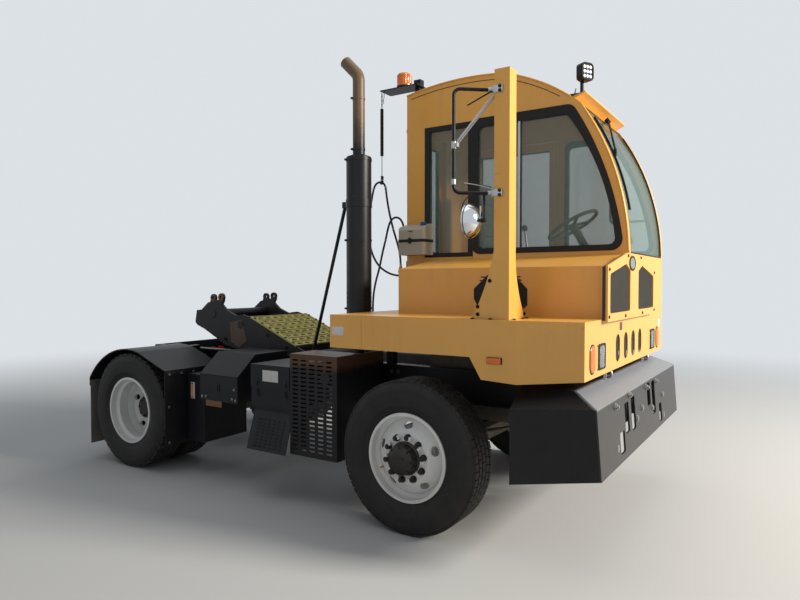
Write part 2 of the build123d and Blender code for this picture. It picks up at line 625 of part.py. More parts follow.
# Cab roof: the crowned sheet between the side walls, from the rear wall to the header
HEADER_IN = (BROW_END[0] - 32, BROW_END[1] - 22)
with BuildPart() as cab_roof:
    with BuildSketch(Plane.XZ.offset(-CAB_IN_Y[1])):
        with BuildLine():
            ThreePointArc(*ROOF_ARC)
            ThreePointArc(*BROW_ARC)
            inner_brow = ThreePointArc((BROW_TOP[0], BROW_TOP[1] - CAB_WALL), (BROW_MID[0] - 18, BROW_MID[1] - CAB_WALL + 6),
                                       HEADER_IN)
            inner_roof = ThreePointArc((CAB_REAR_X, ROOF_REAR_Z - CAB_WALL - 8), (ahead(-250), ROOF_CROWN_Z - CAB_WALL),
                                       (BROW_TOP[0], BROW_TOP[1] - CAB_WALL))
            Line(BROW_END, inner_brow @ 1)
            Line((CAB_REAR_X, ROOF_REAR_Z), inner_roof @ 0)
        make_face()
    extrude(amount=CAB_IN_Y[1] - CAB_IN_Y[0])
# Cab floor with the front wall under the windshield and the riser that carries the seat
SEAT_Y = 560
SEAT_X = ahead(-20)
FLOOR_TOP = DECK_TOP + CAB_WALL
with BuildPart() as cab_floor:
    block((CAB_REAR_X + CAB_WALL, FACE_X - CAB_WALL), CAB_IN_Y, (DECK_TOP, FLOOR_TOP))
    block((FACE_X - CAB_WALL, FACE_X), CAB_IN_Y, (DECK_TOP, SILL_Z - 20))
    block((SEAT_X - 200, SEAT_X + 200), (SEAT_Y - 190, SEAT_Y + 190), (FLOOR_TOP, FLOOR_TOP + 300))
save(cab_floor, "cab_floor")

# Rubber seals of the fixed side windows: they fill the openings' edges and lap the wall outside
with BuildPart() as window_seals:
    for wall_y, outside, rear, pane_rear in ((CAB_RIGHT_Y, -1, RIGHT_FRONT_REAR, RIGHT_PANE_REAR),
                                             (CAB_LEFT_Y, 1, LEFT_FRONT_REAR, LEFT_PANE_REAR)):
        inner_y = wall_y - outside * CAB_WALL
        lip_y = wall_y + outside * SEAL_PROUD
        window_prism(rear, window_front(0), 70, min(wall_y, inner_y), max(wall_y, inner_y), mode=Mode.ADD)
        window_prism(rear - SEAL_LIP, window_front(SEAL_LIP), 80, min(wall_y, lip_y), max(wall_y, lip_y), mode=Mode.ADD)
        window_prism(pane_rear, PANE_FRONT, 45, min(lip_y, inner_y), max(lip_y, inner_y))
    x0, x1, z0, z1 = RIGHT_REAR_WINDOW
    block((x0, x1), (CAB_RIGHT_Y, CAB_RIGHT_Y + CAB_WALL), (z0, z1))
    block((x0 - SEAL_LIP, RIGHT_FRONT_REAR), (CAB_RIGHT_Y - SEAL_PROUD, CAB_RIGHT_Y), (z0 - SEAL_LIP, z1 + SEAL_LIP))
    x0, x1, z0, z1 = RIGHT_REAR_PANE
    block((x0, x1), (CAB_RIGHT_Y - SEAL_PROUD, CAB_RIGHT_Y + CAB_WALL), (z0, z1), mode=Mode.SUBTRACT)
    block(DIVIDER_X, (CAB_RIGHT_Y + 4, CAB_RIGHT_Y + CAB_WALL - 4), (PANE_LOW, PANE_HIGH))
save(window_seals, "window_seals")

# Cab glass: the curved windshield between the walls, under the header and on the front wall, and the side panes
SCREEN_IN = 10
SCREEN_T = 9
with BuildPart() as cab_glass:
    with BuildSketch(Plane.XZ.offset(-CAB_IN_Y[1])):
        with BuildLine():
            outer = ThreePointArc((BROW_END[0] - 10, BROW_END[1] - 10), (SCREEN_MID[0] - SCREEN_IN, SCREEN_MID[1] - 2),
                                  (FACE_X - SCREEN_IN, SILL_Z - 20))
            inner = ThreePointArc((BROW_END[0] - 18, BROW_END[1] - 15.5),
                                  (SCREEN_MID[0] - SCREEN_IN - 8, SCREEN_MID[1] - 4),
                                  (FACE_X - SCREEN_IN - SCREEN_T, SILL_Z - 20))
            Line(outer @ 0, inner @ 0)
            Line(outer @ 1, inner @ 1)
        make_face()
    extrude(amount=CAB_IN_Y[1] - CAB_IN_Y[0])
    pane = CAB_RIGHT_Y + CAB_WALL / 2
    x0, x1, z0, z1 = RIGHT_REAR_PANE
    block((x0 + FIT, x1 - FIT), (pane - GLASS / 2, pane + GLASS / 2), (z0 + FIT, z1 - FIT))
    window_prism(RIGHT_PANE_REAR, PANE_FRONT, 45, pane - GLASS / 2, pane + GLASS / 2, inset=FIT, mode=Mode.ADD)
    block((DIVIDER_X[0] - FIT, DIVIDER_X[1] + FIT), (pane - GLASS, pane + GLASS), (PANE_LOW, PANE_HIGH),
          mode=Mode.SUBTRACT)
    pane = CAB_LEFT_Y - CAB_WALL / 2
    window_prism(LEFT_PANE_REAR, PANE_FRONT, 45, pane - GLASS / 2, pane + GLASS / 2, inset=FIT, mode=Mode.ADD)
save(cab_glass, "cab_glass")

# Cab door, hinged at its front edge on two outside hinges
DOOR_GAP = MOVE_GAP
DOOR_WINDOW_X = (DOOR_X[0] + 80, DOOR_X[1] - 80)
DOOR_WINDOW_Z = (1950, DOOR_Z[1] - 80)
with BuildPart() as cab_door:
    block((DOOR_X[0] + DOOR_GAP, DOOR_X[1] - DOOR_GAP), (CAB_LEFT_Y - CAB_WALL, CAB_LEFT_Y),
          (DOOR_Z[0] + DOOR_GAP, DOOR_Z[1] - DOOR_GAP))
    block(DOOR_WINDOW_X, (CAB_LEFT_Y - CAB_WALL, CAB_LEFT_Y), DOOR_WINDOW_Z, mode=Mode.SUBTRACT)
    for z in HINGE_Z:
        low, high = z - HINGE_LEN / 2, z + HINGE_LEN / 2
        block((DOOR_X[1] - 60, DOOR_X[1] - DOOR_GAP), (CAB_LEFT_Y, CAB_LEFT_Y + 10), (low, high))
        block((DOOR_X[1] - 12, HINGE_X), (CAB_LEFT_Y + 5, CAB_LEFT_Y + 16), (low, high))
        rod((HINGE_X, HINGE_Y, low), (HINGE_X, HINGE_Y, high), HINGE_R)
        rod((HINGE_X, HINGE_Y, low), (HINGE_X, HINGE_Y, high), HINGE_PIN_R + FIT, mode=Mode.SUBTRACT)
save(cab_door, "cab_door")

with BuildPart() as door_glass:
    pane = CAB_LEFT_Y - CAB_WALL / 2
    block((DOOR_WINDOW_X[0] + FIT, DOOR_WINDOW_X[1] - FIT), (pane - GLASS / 2, pane + GLASS / 2),
          (DOOR_WINDOW_Z[0] + FIT, DOOR_WINDOW_Z[1] - FIT))
save(door_glass, "door_glass")

# Sun visor over the windshield, welded to the roof
VISOR_REACH = 33
VISOR_RISE = 76
with BuildPart(mode=Mode.PRIVATE) as sun_visor:
    lip_x, lip_z = BROW_END[0] + VISOR_REACH, BROW_END[1] + VISOR_RISE
    side_slab([(BROW_END[0] - 65, BROW_END[1] + 28), (lip_x, lip_z - 5), (lip_x, lip_z + 5),
               (BROW_END[0] - 70, BROW_END[1] + 48)], CAB_RIGHT_Y, CAB_LEFT_Y)
    with BuildPart(mode=Mode.PRIVATE) as cab_volume:
        with BuildSketch(Plane.XZ.offset(-CAB_LEFT_Y)):
            cab_outline()
        extrude(amount=CAB_LEFT_Y - CAB_RIGHT_Y)
    add(cab_volume.part, mode=Mode.SUBTRACT)

cab_roof.part = cab_roof.part + sun_visor.part
save(cab_roof, "cab_roof")

# Inside the cab: the dash with its column, the wheel and the seat
COLUMN_FOOT = (ahead(820), SEAT_Y, 1700)
WHEEL_CENTRE = (ahead(560), SEAT_Y, 2150)
with BuildPart() as dash:
    side_slab([(ahead(1080), FLOOR_TOP), (ahead(1080), 1870), (ahead(840), 1930), (ahead(790), 1880),
               (ahead(800), 1640), (ahead(930), 1560), (ahead(930), FLOOR_TOP)], CAB_IN_Y[0] + 20, CAB_IN_Y[1] - 20)
    column = Vector(*WHEEL_CENTRE) - Vector(*COLUMN_FOOT)
    column_end = Vector(*WHEEL_CENTRE) - column.normalized() * 30
    rod(COLUMN_FOOT, tuple(column_end), 32)
save(dash, "dash")

WHEEL_R = 215
with BuildPart() as steering_wheel:
    with BuildSketch(Plane(origin=WHEEL_CENTRE, z_dir=column).offset(-30 + RUN_GAP)):
        Circle(40)
    extrude(amount=40)
    wheel_face = Plane(origin=WHEEL_CENTRE, x_dir=(0, 1, 0), z_dir=column)
    with BuildSketch(Plane(origin=WHEEL_CENTRE, x_dir=(0, 1, 0), z_dir=wheel_face.y_dir)):
        with Locations((WHEEL_R, 0)):
            Circle(15)
    revolve(axis=Axis(WHEEL_CENTRE, column))
    with BuildSketch(wheel_face.offset(-10)):
        with PolarLocations(WHEEL_R / 2 + 8, 3, start_angle=90):
            Rectangle(WHEEL_R - 24, 26)
    extrude(amount=12)
save(steering_wheel, "steering_wheel")

with BuildPart() as seat_cushions:
    block((SEAT_X - 230, SEAT_X + 250), (SEAT_Y - 240, SEAT_Y + 240), (FLOOR_TOP + 300 + FIT, FLOOR_TOP + 430))
    side_slab([(SEAT_X - 240, FLOOR_TOP + 430 + FIT), (SEAT_X - 130, FLOOR_TOP + 430 + FIT),
               (SEAT_X - 220, FLOOR_TOP + 1120), (SEAT_X - 300, FLOOR_TOP + 1120)], SEAT_Y - 220, SEAT_Y + 220)
    fillet(seat_cushions.edges(), 25)
save(seat_cushions, "seat_cushions")

# Exhaust: after-treatment can, heat-shielded stack and a tail pipe that bends back
CAN_R = 140
CAN_Y = -(RAIL_OUT_Y + CAN_R + 8)
BRACE_Z = 2300
BRACE_FOOT = (ahead(-1400), -RAIL_OUT_Y + 40, RAIL_TOP + 10)
with BuildPart() as exhaust_stack:
    rod((STACK_X, CAN_Y, 450), (STACK_X, CAN_Y, 1080), CAN_R)
    rod((STACK_X, STACK_Y, 1080), (STACK_X, STACK_Y, SHIELD_Z), PIPE_R)
    rod((STACK_X, STACK_Y, SHIELD_Z), (STACK_X, STACK_Y, SHIELD_TOP), SHIELD_R)
    tip = (STACK_X - 130, STACK_Y, 3440)
    bent_tube([(STACK_X, STACK_Y, SHIELD_TOP), (STACK_X, STACK_Y, 3310), tip], PIPE_R, 90)
    rod((tip[0] + 106, STACK_Y, tip[2] - 106), tip, PIPE_R - PIPE_WALL, mode=Mode.SUBTRACT)
    block((STACK_X - 40, STACK_X + 40), (-RAIL_OUT_Y - 40, -RAIL_Y - RAIL_WEB), (860, 980))
    with BuildSketch(Plane.XY.offset(BRACE_Z - 30)) as band:
        with Locations((STACK_X, STACK_Y)):
            Circle(SHIELD_R + 5)
            Circle(SHIELD_R - 1, mode=Mode.SUBTRACT)
    extrude(band.sketch, amount=60)
    block((STACK_X - SHIELD_R - 70, STACK_X - SHIELD_R + 1), (STACK_Y, STACK_Y + 40), (BRACE_Z - 25, BRACE_Z + 25))
    rod((STACK_X - SHIELD_R - 50, STACK_Y + 20, BRACE_Z), BRACE_FOOT, 14)
    block((BRACE_FOOT[0] - 50, BRACE_FOOT[0] + 50), (-RAIL_OUT_Y, -RAIL_Y), (RAIL_TOP, RAIL_TOP + 10))
save(exhaust_stack, "exhaust_stack")

# Coolant tank on the cab's rear right corner
with BuildPart() as coolant_tank:
    tank_y = CAB_RIGHT_Y - SEAL_PROUD - FIT
    front_slab([(tank_y, 1905), (tank_y - 146, 1905), (tank_y - 146, 2110), (tank_y - 111, 2140), (tank_y, 2170)],
               CAB_REAR_X, CAB_REAR_X + 260)
    fillet(coolant_tank.edges().filter_by(Axis.Z).sort_by(Axis.Y)[:2], 25)
    rod((CAB_REAR_X + 200, tank_y - 56, 2140), (CAB_REAR_X + 200, tank_y - 56, 2180), 24)
    block((CAB_REAR_X + 10, RIGHT_REAR_WINDOW[0] - SEAL_LIP - 5), (tank_y, CAB_RIGHT_Y), (1930, 2100))
save(coolant_tank, "coolant_tank")

# Roof lamp plate with its foot, and the work light
HANGER_END = (ahead(-952), CAB_RIGHT_Y, 2569)
HANGER_R = 14
SPRING_LEN = 410
with BuildPart() as roof_lamps:
    block((ahead(-960), ahead(-580)), (-70, 100), (PLATE_Z, PLATE_Z + PLATE_T))
    block((ahead(-665), ahead(-600)), (20, 80), (PLATE_Z + PLATE_T, PLATE_Z + 70))
    foot_z = sorted((ROOF_REAR_Z - 15, PLATE_Z + PLATE_T / 2))
    block((ahead(-640), ahead(-600)), (CAB_IN_Y[0] + 10, CAB_IN_Y[0] + 90), (foot_z[0], foot_z[1]))
    with BuildPart(mode=Mode.PRIVATE) as cab_volume:
        with BuildSketch(Plane.XZ.offset(-CAB_LEFT_Y)):
            cab_outline()
        extrude(amount=CAB_LEFT_Y - CAB_RIGHT_Y)
    face = Vector(0.86, -0.51, 0.0)
    lamp = Vector(ahead(800), 60, 3230)
    lamp_plane = Plane(origin=lamp - face * 25, x_dir=(0.51, 0.86, 0), z_dir=face)
    with BuildSketch(lamp_plane) as lamp_body:
        RectangleRounded(118, 132, 34)
    extrude(lamp_body.sketch, amount=50)
    rod((lamp.X - 20, lamp.Y, 3180), (lamp.X - 20, lamp.Y, 3080), 14)
    block((lamp.X - 110, lamp.X), (lamp.Y - 18, lamp.Y + 18), (3076, 3084))
    rod((lamp.X - 100, lamp.Y, 3084), (lamp.X - 100, lamp.Y, 3010), 7)
    rod(HANGER_END, (HANGER_END[0], HANGER_END[1], PLATE_Z), 3)
    spring_z = HANGER_END[2] + 0.283 * (PLATE_Z - HANGER_END[2])
    rod((HANGER_END[0], HANGER_END[1], spring_z), (HANGER_END[0], HANGER_END[1], spring_z + SPRING_LEN), HANGER_R)
    add(cab_volume.part, mode=Mode.SUBTRACT)
save(roof_lamps, "roof_lamps")

# Wiper: a hub on the header, two arms and a long blade that lies along the glass
WIPER_HUB_Y = 620
WIPER_Y = 32
BLADE_Z = (2190, 2540, 2880)


def screen_point(z, out):
    """A point that far outside the windshield line, at a height, as (x, z)."""
    (ax, az), (bx, bz), (cx, cz) = SCREEN_ARC
    d = 2 * (ax * (bz - cz) + bx * (cz - az) + cx * (az - bz))
    ux = ((ax**2 + az**2) * (bz - cz) + (bx**2 + bz**2) * (cz - az) + (cx**2 + cz**2) * (az - bz)) / d
    uz = ((ax**2 + az**2) * (cx - bx) + (bx**2 + bz**2) * (ax - cx) + (cx**2 + cz**2) * (bx - ax)) / d
    radius = hypot(ax - ux, az - uz)
    x = ux + sqrt(radius**2 - (z - uz) ** 2)
    return (x + out * (x - ux) / radius, z + out * (z - uz) / radius)


with BuildPart() as wiper:
    hub_low = screen_point(BROW_END[1] - 4, 0.3)
    hub_high = screen_point(BROW_END[1] - 4, 34)
    rod((hub_low[0], WIPER_HUB_Y, hub_low[1]), (hub_high[0], WIPER_HUB_Y, hub_high[1]), 24)
    hold = screen_point(BLADE_Z[1] + 60, 24)
    for shift in (-14, 14):
        rod((hub_high[0] - 8, WIPER_HUB_Y + shift, hub_high[1] - 6), (hold[0], WIPER_Y + 10, hold[1] + shift), 5)
    block((hold[0] - 14, hold[0] + 6), (WIPER_Y - 4, WIPER_Y + 16), (hold[1] - 24, hold[1] + 24))
    with BuildSketch(Plane.XZ.offset(-(WIPER_Y + 7))) as blade:
        with BuildLine() as outline:
            low_side = ThreePointArc(*[screen_point(z, 1) for z in BLADE_Z])
            high_side = ThreePointArc(*[screen_point(z, 17) for z in BLADE_Z])
            Line(low_side @ 0, high_side @ 0)
            Line(low_side @ 1, high_side @ 1)
        make_face(outline.edges())
    extrude(blade.sketch, amount=14)
save(wiper, "wiper")

# Air lines: fittings on the cab's rear corner and on the frame, and two hoses that hang between them
HOSE_R = 9
FITTING_R = 14
LONG_START = (ahead(-765), -36, 1800)
LONG_END = (ahead(-735), -30, 1735)
SHORT_START = (ahead(-735), -30, 2100)
SHORT_END = (ahead(-1010), -60, RAIL_BOTTOM + 220)
with BuildPart() as air_fittings:
    for z_low, z_high in ((1700, 1860), (2050, 2115)):
        block((CAB_REAR_X - 10, CAB_REAR_X), (CAB_RIGHT_Y + 2, CAB_RIGHT_Y + 44), (z_low, z_high))
    for x, y, z in (LONG_START, SHORT_START):
        rod((CAB_REAR_X - 10, y, z - 28), (x - FITTING_R - 3, y, z - 28), FITTING_R)
        rod((x, y, z - 28 - FITTING_R - 3), (x, y, z), FITTING_R + 2)
    rod((CAB_REAR_X - 10, LONG_END[1], LONG_END[2]), LONG_END, FITTING_R)
    rod((SHORT_END[0], SHORT_END[1], RAIL_BOTTOM + 120), SHORT_END, FITTING_R)
save(air_fittings, "air_fittings")

LONG_ROUTE = [
    LONG_START, (ahead(-765), -36, 1900), (ahead(-790), -44, 2010), (ahead(-830), -56, 2140),
    (ahead(-868), -62, 2290), (ahead(-895), -60, 2425), (ahead(-910), -54, 2511), (ahead(-933), -51, 2551),
    (ahead(-975), -50, 2566), (ahead(-1017), -50, 2551), (ahead(-1040), -52, 2511), (ahead(-1058), -55, 2425),
    (ahead(-1082), -60, 2280), (ahead(-1088), -64, 2130), (ahead(-1068), -68, 1990), (ahead(-1022), -68, 1880),
    (ahead(-955), -62, 1800), (ahead(-870), -44, 1750), (ahead(-795), -30, 1735), LONG_END,
]
SHORT_ROUTE = [
    SHORT_START, (ahead(-735), -30, 2150), (ahead(-752), -30, 2205), (ahead(-790), -30, 2243),
    (ahead(-842), -31, 2245), (ahead(-880), -32, 2208), (ahead(-900), -33, 2152), (ahead(-925), -34, 2050),
    (ahead(-960), -35, 1932), (ahead(-990), -36, 1800), (ahead(-1028), -38, 1690), (ahead(-1052), -42, 1570),
    (ahead(-1056), -47, 1430), (ahead(-1042), -53, 1290), (ahead(-1020), -58, 1170), (ahead(-1010), -60, 1080),
    SHORT_END,
]


def hose_path(route):
    """Each corner's arc takes 0.45 of its shorter run."""
    spots = [Vector(*p) for p in route]
    radii = []
    for before, corner, after in zip(spots, spots[1:], spots[2:]):
        turn = (corner - before).get_angle(after - corner)
        run = min((corner - before).length, (after - corner).length)
        radii.append(0.45 * run / tan(radians(turn) / 2))
    return radii


for hose_name, route in (("air_hose_long", LONG_ROUTE), ("air_hose_short", SHORT_ROUTE)):
    radii = hose_path(route)
    with BuildPart() as air_hose:
        with BuildLine() as hose_line:
            FilletPolyline(*route, radius=radii)
        with BuildSketch(Plane(origin=hose_line.line @ 0, z_dir=hose_line.line % 0)) as hose_section:
            Circle(HOSE_R)
        sweep(hose_section.sketch, path=hose_line.line)
    length = sum(edge.length for edge in hose_line.edges())
    print(hose_name, "length", round(length), "radii", [round(r) for r in radii])
    print("volume ratio", round(air_hose.part.volume / (pi * HOSE_R**2 * length), 4))
    save(air_hose, hose_name)

# Mirror post: a square tube with two flared foot gussets
POST_FRONT = ahead(700)
POST_W = 100
POST_TOP = 2960
POST_OUT = -(BODY_HALF - 30)
with BuildPart() as mirror_post:
    block((POST_FRONT - POST_W, POST_FRONT), (POST_OUT, POST_OUT + POST_W), (DECK_TOP, POST_TOP))
    with BuildSketch(Plane.XZ.offset(-(POST_OUT + SHEET))):
        with BuildLine():
            foot = (POST_FRONT - POST_W - 150, DECK_TOP)
            flare = ThreePointArc(foot, (POST_FRONT - POST_W - 60, DECK_TOP + 200), (POST_FRONT - POST_W, DECK_TOP + 425))
            Polyline(flare @ 1, (POST_FRONT - POST_W, DECK_TOP), foot)
        make_face()
    extrude(amount=SHEET)
    with BuildSketch(Plane.YZ.offset(POST_FRONT - SHEET)):
        with BuildLine():
            foot = (POST_OUT + POST_W + 160, DECK_TOP)
            flare = ThreePointArc(foot, (POST_OUT + POST_W + 60, DECK_TOP + 150), (POST_OUT + POST_W, DECK_TOP + 355))
            Polyline(flare @ 1, (POST_OUT + POST_W, DECK_TOP), foot)
        make_face()
    extrude(amount=SHEET)
save(mirror_post, "mirror_post")

# Mirror frames: a swept C of tube each side, and the round convex heads they carry
FRAME_TUBE = 11
HEAD_R = 105
HEAD_Y = MIRROR_REACH - HEAD_R
FRAME_X = {-1: ahead(400), 1: ahead(690)}
HEAD_X = {-1: ahead(500), 1: ahead(790)}
HEAD_DEEP = 70
HEAD_Z = 2040
HEAD_T = 8
with BuildPart() as mirror_frames:
    for side in (-1, 1):
        out = side * LOOP_REACH
        if side < 0:
            top = (POST_FRONT - POST_W + 10, POST_OUT + 30, 2840)
            foot = (POST_FRONT - POST_W + 10, POST_OUT + 30, 2215)
        else:
            top = (ahead(866), CAB_LEFT_Y - 10, 2840)
            foot = (ahead(1104), CAB_LEFT_Y - 10, 2215)
        bent_tube([top, (FRAME_X[side], out, 2840), (FRAME_X[side], out, 2215), foot], FRAME_TUBE, 40)
        stem_x = HEAD_X[side] + 45
        stem_y = out + (foot[1] - out) * (stem_x - FRAME_X[side]) / (foot[0] - FRAME_X[side])
        stud_x = HEAD_X[side] + HEAD_DEEP + FIT
        bent_tube([(stem_x, stem_y, 2215), (stem_x, stem_y, 2172), (stud_x + 22, side * HEAD_Y, HEAD_Z + 12)], 8, 14)
        rod((stud_x, side * HEAD_Y, HEAD_Z), (stud_x + 32, side * HEAD_Y, HEAD_Z), 14)
    block((POST_FRONT - POST_W, POST_FRONT), (POST_OUT, POST_OUT + POST_W), (DECK_TOP, POST_TOP), mode=Mode.SUBTRACT)
    block((ahead(700), FACE_X), (CAB_LEFT_Y - 60, CAB_LEFT_Y), (2000, 2960), mode=Mode.SUBTRACT)
    for x_end, z_end in ((ahead(837), 2840), (ahead(1073), 2215)):
        block((ahead(700), x_end), (CAB_LEFT_Y, CAB_LEFT_Y + SEAL_PROUD + FIT), (z_end - 30, z_end + 30),
              mode=Mode.SUBTRACT)
save(mirror_frames, "mirror_frames")

with BuildPart() as mirror_heads:
    for side in (-1, 1):
        centre = (HEAD_X[side], side * HEAD_Y, HEAD_Z)
        with BuildSketch(Plane(origin=centre, x_dir=(0, 0, 1), z_dir=(0, 1, 0))) as bowl:
            with BuildLine() as rim:
                dome = ThreePointArc((0, HEAD_DEEP), (HEAD_R * 0.72, HEAD_DEEP * 0.62), (HEAD_R, 0))
                Polyline(dome @ 1, (HEAD_R, -HEAD_T), (0, -HEAD_T), dome @ 0)
            make_face(rim.edges())
        revolve(bowl.sketch, axis=Axis(centre, (1, 0, 0)))
save(mirror_heads, "mirror_heads")

# Rear fenders: a rolled sheet over each pair of wheels, with an inner valance and a front panel
FENDER_IN = 625
FENDER_OUT = 1225
FENDER_R = 730
FENDER_CROWN = TYRE_R + 560
BRACKET_TOP = FENDER_CROWN - 13
FENDER_T = 6
FENDER_TAIL_X = REAR_AXLE_X - 595
FENDER_SLOPE_X = REAR_AXLE_X + 160
FENDER_NOSE = (REAR_AXLE_X + TYRE_R + 30, TYRE_R + 400)
FLAP_LOW = 260


def fender_z(x, inset):
    centre = FENDER_CROWN - FENDER_R
    return centre + sqrt((FENDER_R - inset) ** 2 - (x - REAR_AXLE_X) ** 2)


with BuildPart() as rear_fenders:
    for side in (-1, 1):
        y_low, y_high = sorted((side * FENDER_IN, side * FENDER_OUT))
        tail = (FENDER_TAIL_X, fender_z(FENDER_TAIL_X, 0))
        tail_in = (FENDER_TAIL_X + 5, fender_z(FENDER_TAIL_X + 5, FENDER_T))
        knee = (FENDER_SLOPE_X, fender_z(FENDER_SLOPE_X, 0))
        knee_in = (FENDER_SLOPE_X - 2, fender_z(FENDER_SLOPE_X - 2, FENDER_T))
        crown = (REAR_AXLE_X - 200, fender_z(REAR_AXLE_X - 200, 0))
        crown_in = (REAR_AXLE_X - 200, fender_z(REAR_AXLE_X - 200, FENDER_T))
        with BuildSketch(Plane.XZ.offset(-y_high)):
            with BuildLine():
                ThreePointArc(tail, crown, knee)
                Polyline(knee, FENDER_NOSE, (FENDER_NOSE[0], FLAP_LOW), (FENDER_NOSE[0] - FENDER_T, FLAP_LOW),
                         (FENDER_NOSE[0] - FENDER_T, FENDER_NOSE[1] - 4), knee_in)
                ThreePointArc(knee_in, crown_in, tail_in)
                Line(tail_in, tail)
            make_face()
        extrude(amount=y_high - y_low)
        block((FENDER_TAIL_X, FENDER_TAIL_X + FENDER_T), (y_low, y_high), (690, tail[1] - 2))
        for x in (REAR_AXLE_X - 210, REAR_AXLE_X + 60):
            block((x, x + 70), sorted((side * RAIL_OUT_Y, side * (RAIL_OUT_Y + 10))), (RAIL_BOTTOM + 20, BRACKET_TOP))
            block((x, x + 70), sorted((side * RAIL_OUT_Y, side * (FENDER_IN + 30))), (BRACKET_TOP - 24, BRACKET_TOP))
save(rear_fenders, "rear_fenders")

with BuildPart() as mud_flaps:
    for side in (-1, 1):
        block((FENDER_TAIL_X + FENDER_T, FENDER_TAIL_X + FENDER_T + 9),
              sorted((side * (FENDER_IN + 5), side * (FENDER_OUT - 5))), (140, 745))
save(mud_flaps, "mud_flaps")

# Right side: perforated guard, battery box with its step, tool box and hydraulic tank
SIDE_FACE = -(BODY_HALF - 30)
GUARD_X = (ahead(-1077), ahead(-622))
GUARD_Z = (372, 1137)
GUARD_T = 5
with BuildPart() as guard_box:
    block(GUARD_X, (SIDE_FACE, SIDE_FACE + GUARD_T), GUARD_Z)
    block((GUARD_X[1] - GUARD_T, GUARD_X[1]), (SIDE_FACE, -RAIL_OUT_Y), GUARD_Z)
    block((GUARD_X[0], GUARD_X[0] + GUARD_T), (SIDE_FACE, SIDE_FACE + 180), GUARD_Z)
    block(GUARD_X, (SIDE_FACE, -RAIL_OUT_Y - 300), (GUARD_Z[1] - GUARD_T, GUARD_Z[1]))
    with BuildSketch(Plane.XZ.offset(-(SIDE_FACE + GUARD_T))):
        with Locations(((GUARD_X[0] + GUARD_X[1]) / 2 - 10, (GUARD_Z[0] + GUARD_Z[1]) / 2)):
            with GridLocations(82, 32, 5, 22):
                Rectangle(54, 13)
    extrude(amount=GUARD_T, mode=Mode.SUBTRACT)
save(guard_box, "guard_box")

BATTERY_X = (ahead(-1495), ahead(-1085))
BATTERY_IN = -620
BATTERY_Z = (700, 1030)
LID_SPLIT = 862
LID_T = 5
with BuildPart() as battery_box:
    block(BATTERY_X, (SIDE_FACE + LID_T + 1, BATTERY_IN), (BATTERY_Z[0], LID_SPLIT))
    block((BATTERY_X[0] + LID_T + 1, BATTERY_X[1] - LID_T - 1), (SIDE_FACE + LID_T + 40, BATTERY_IN),
          (LID_SPLIT, BATTERY_Z[1] - LID_T - FIT))
    for x in (BATTERY_X[0] + 60, BATTERY_X[1] - 120):
        block((x, x + 60), (BATTERY_IN, -RAIL_Y - RAIL_WEB), (830, 900))
    front_slab([(SIDE_FACE + 40, BATTERY_Z[0]), (SIDE_FACE + 40, BATTERY_Z[0] - 40), (SIDE_FACE - 50, 365),
                (SIDE_FACE - 44, 365), (SIDE_FACE + 46, BATTERY_Z[0] - 40), (SIDE_FACE + 160, BATTERY_Z[0] - 40),
                (SIDE_FACE + 160, BATTERY_Z[0])],
               BATTERY_X[0], BATTERY_X[1])
save(battery_box, "battery_box")

with BuildPart() as battery_lid:
    block((BATTERY_X[0] - 1, BATTERY_X[1] + 1), (SIDE_FACE, BATTERY_IN), (BATTERY_Z[1] - LID_T, BATTERY_Z[1]))
    block((BATTERY_X[0] - 1, BATTERY_X[1] + 1), (SIDE_FACE, SIDE_FACE + LID_T), (LID_SPLIT - 12, BATTERY_Z[1]))
    for x in (BATTERY_X[0] - 1, BATTERY_X[1] + 1 - LID_T):
        block((x, x + LID_T), (SIDE_FACE, BATTERY_IN), (LID_SPLIT + 1, BATTERY_Z[1]))
save(battery_lid, "battery_lid")

TOOL_X = (ahead(-2105), ahead(-1650))
with BuildPart() as toolbox:
    front_slab([(-RAIL_OUT_Y - 12, 690), (SIDE_FACE, 690), (SIDE_FACE, 905), (SIDE_FACE + 200, 1075),
                (-RAIL_OUT_Y - 12, 1075)], TOOL_X[0], TOOL_X[1])
    for x in (TOOL_X[0] + 50, TOOL_X[1] - 110):
        block((x, x + 60), (-RAIL_OUT_Y - 12, -RAIL_Y - RAIL_WEB), (860, 980))
save(toolbox, "toolbox")

TANK_X = (FENDER_NOSE[0] + 15, TOOL_X[0] - 60)
with BuildPart() as hydraulic_tank:
    block(TANK_X, (-1000, -RAIL_OUT_Y - 12), (285, 872))
    block((TANK_X[0] + 60, TANK_X[0] + 140), (-RAIL_OUT_Y - 12, -RAIL_Y - RAIL_WEB), (820, 860))
save(hydraulic_tank, "hydraulic_tank")

# Left side: steps behind the front wheel and the fuel tank
with BuildPart() as left_steps:
    for x in (GUARD_X[0], GUARD_X[1] - 6):
        side_y = (RAIL_OUT_Y, -SIDE_FACE)
        front_slab([(side_y[0], 1137), (side_y[1] - 60, 1137), (side_y[1], 372), (side_y[1] - 260, 372),
                    (side_y[0], 820)], x, x + 6)
    for z, inner_y, outer_y in ((420, 850, 1095), (770, 760, 1068), (1117, 520, 1040)):
        block((GUARD_X[0] + 6, GUARD_X[1] - 6), (inner_y, outer_y), (z, z + 20))
save(left_steps, "left_steps")

FUEL_R = 270
FUEL_X = (ahead(-1950), ahead(-1130))
FUEL_Y = RAIL_OUT_Y + FUEL_R + 20
FUEL_Z = 760
with BuildPart() as fuel_tank:
    rod((FUEL_X[0], FUEL_Y, FUEL_Z), (FUEL_X[1], FUEL_Y, FUEL_Z), FUEL_R)
    for x in (FUEL_X[0] + 150, FUEL_X[1] - 210):
        block((x, x + 60), (RAIL_Y + RAIL_WEB, RAIL_OUT_Y + 40), (830, 960))
save(fuel_tank, "fuel_tank")

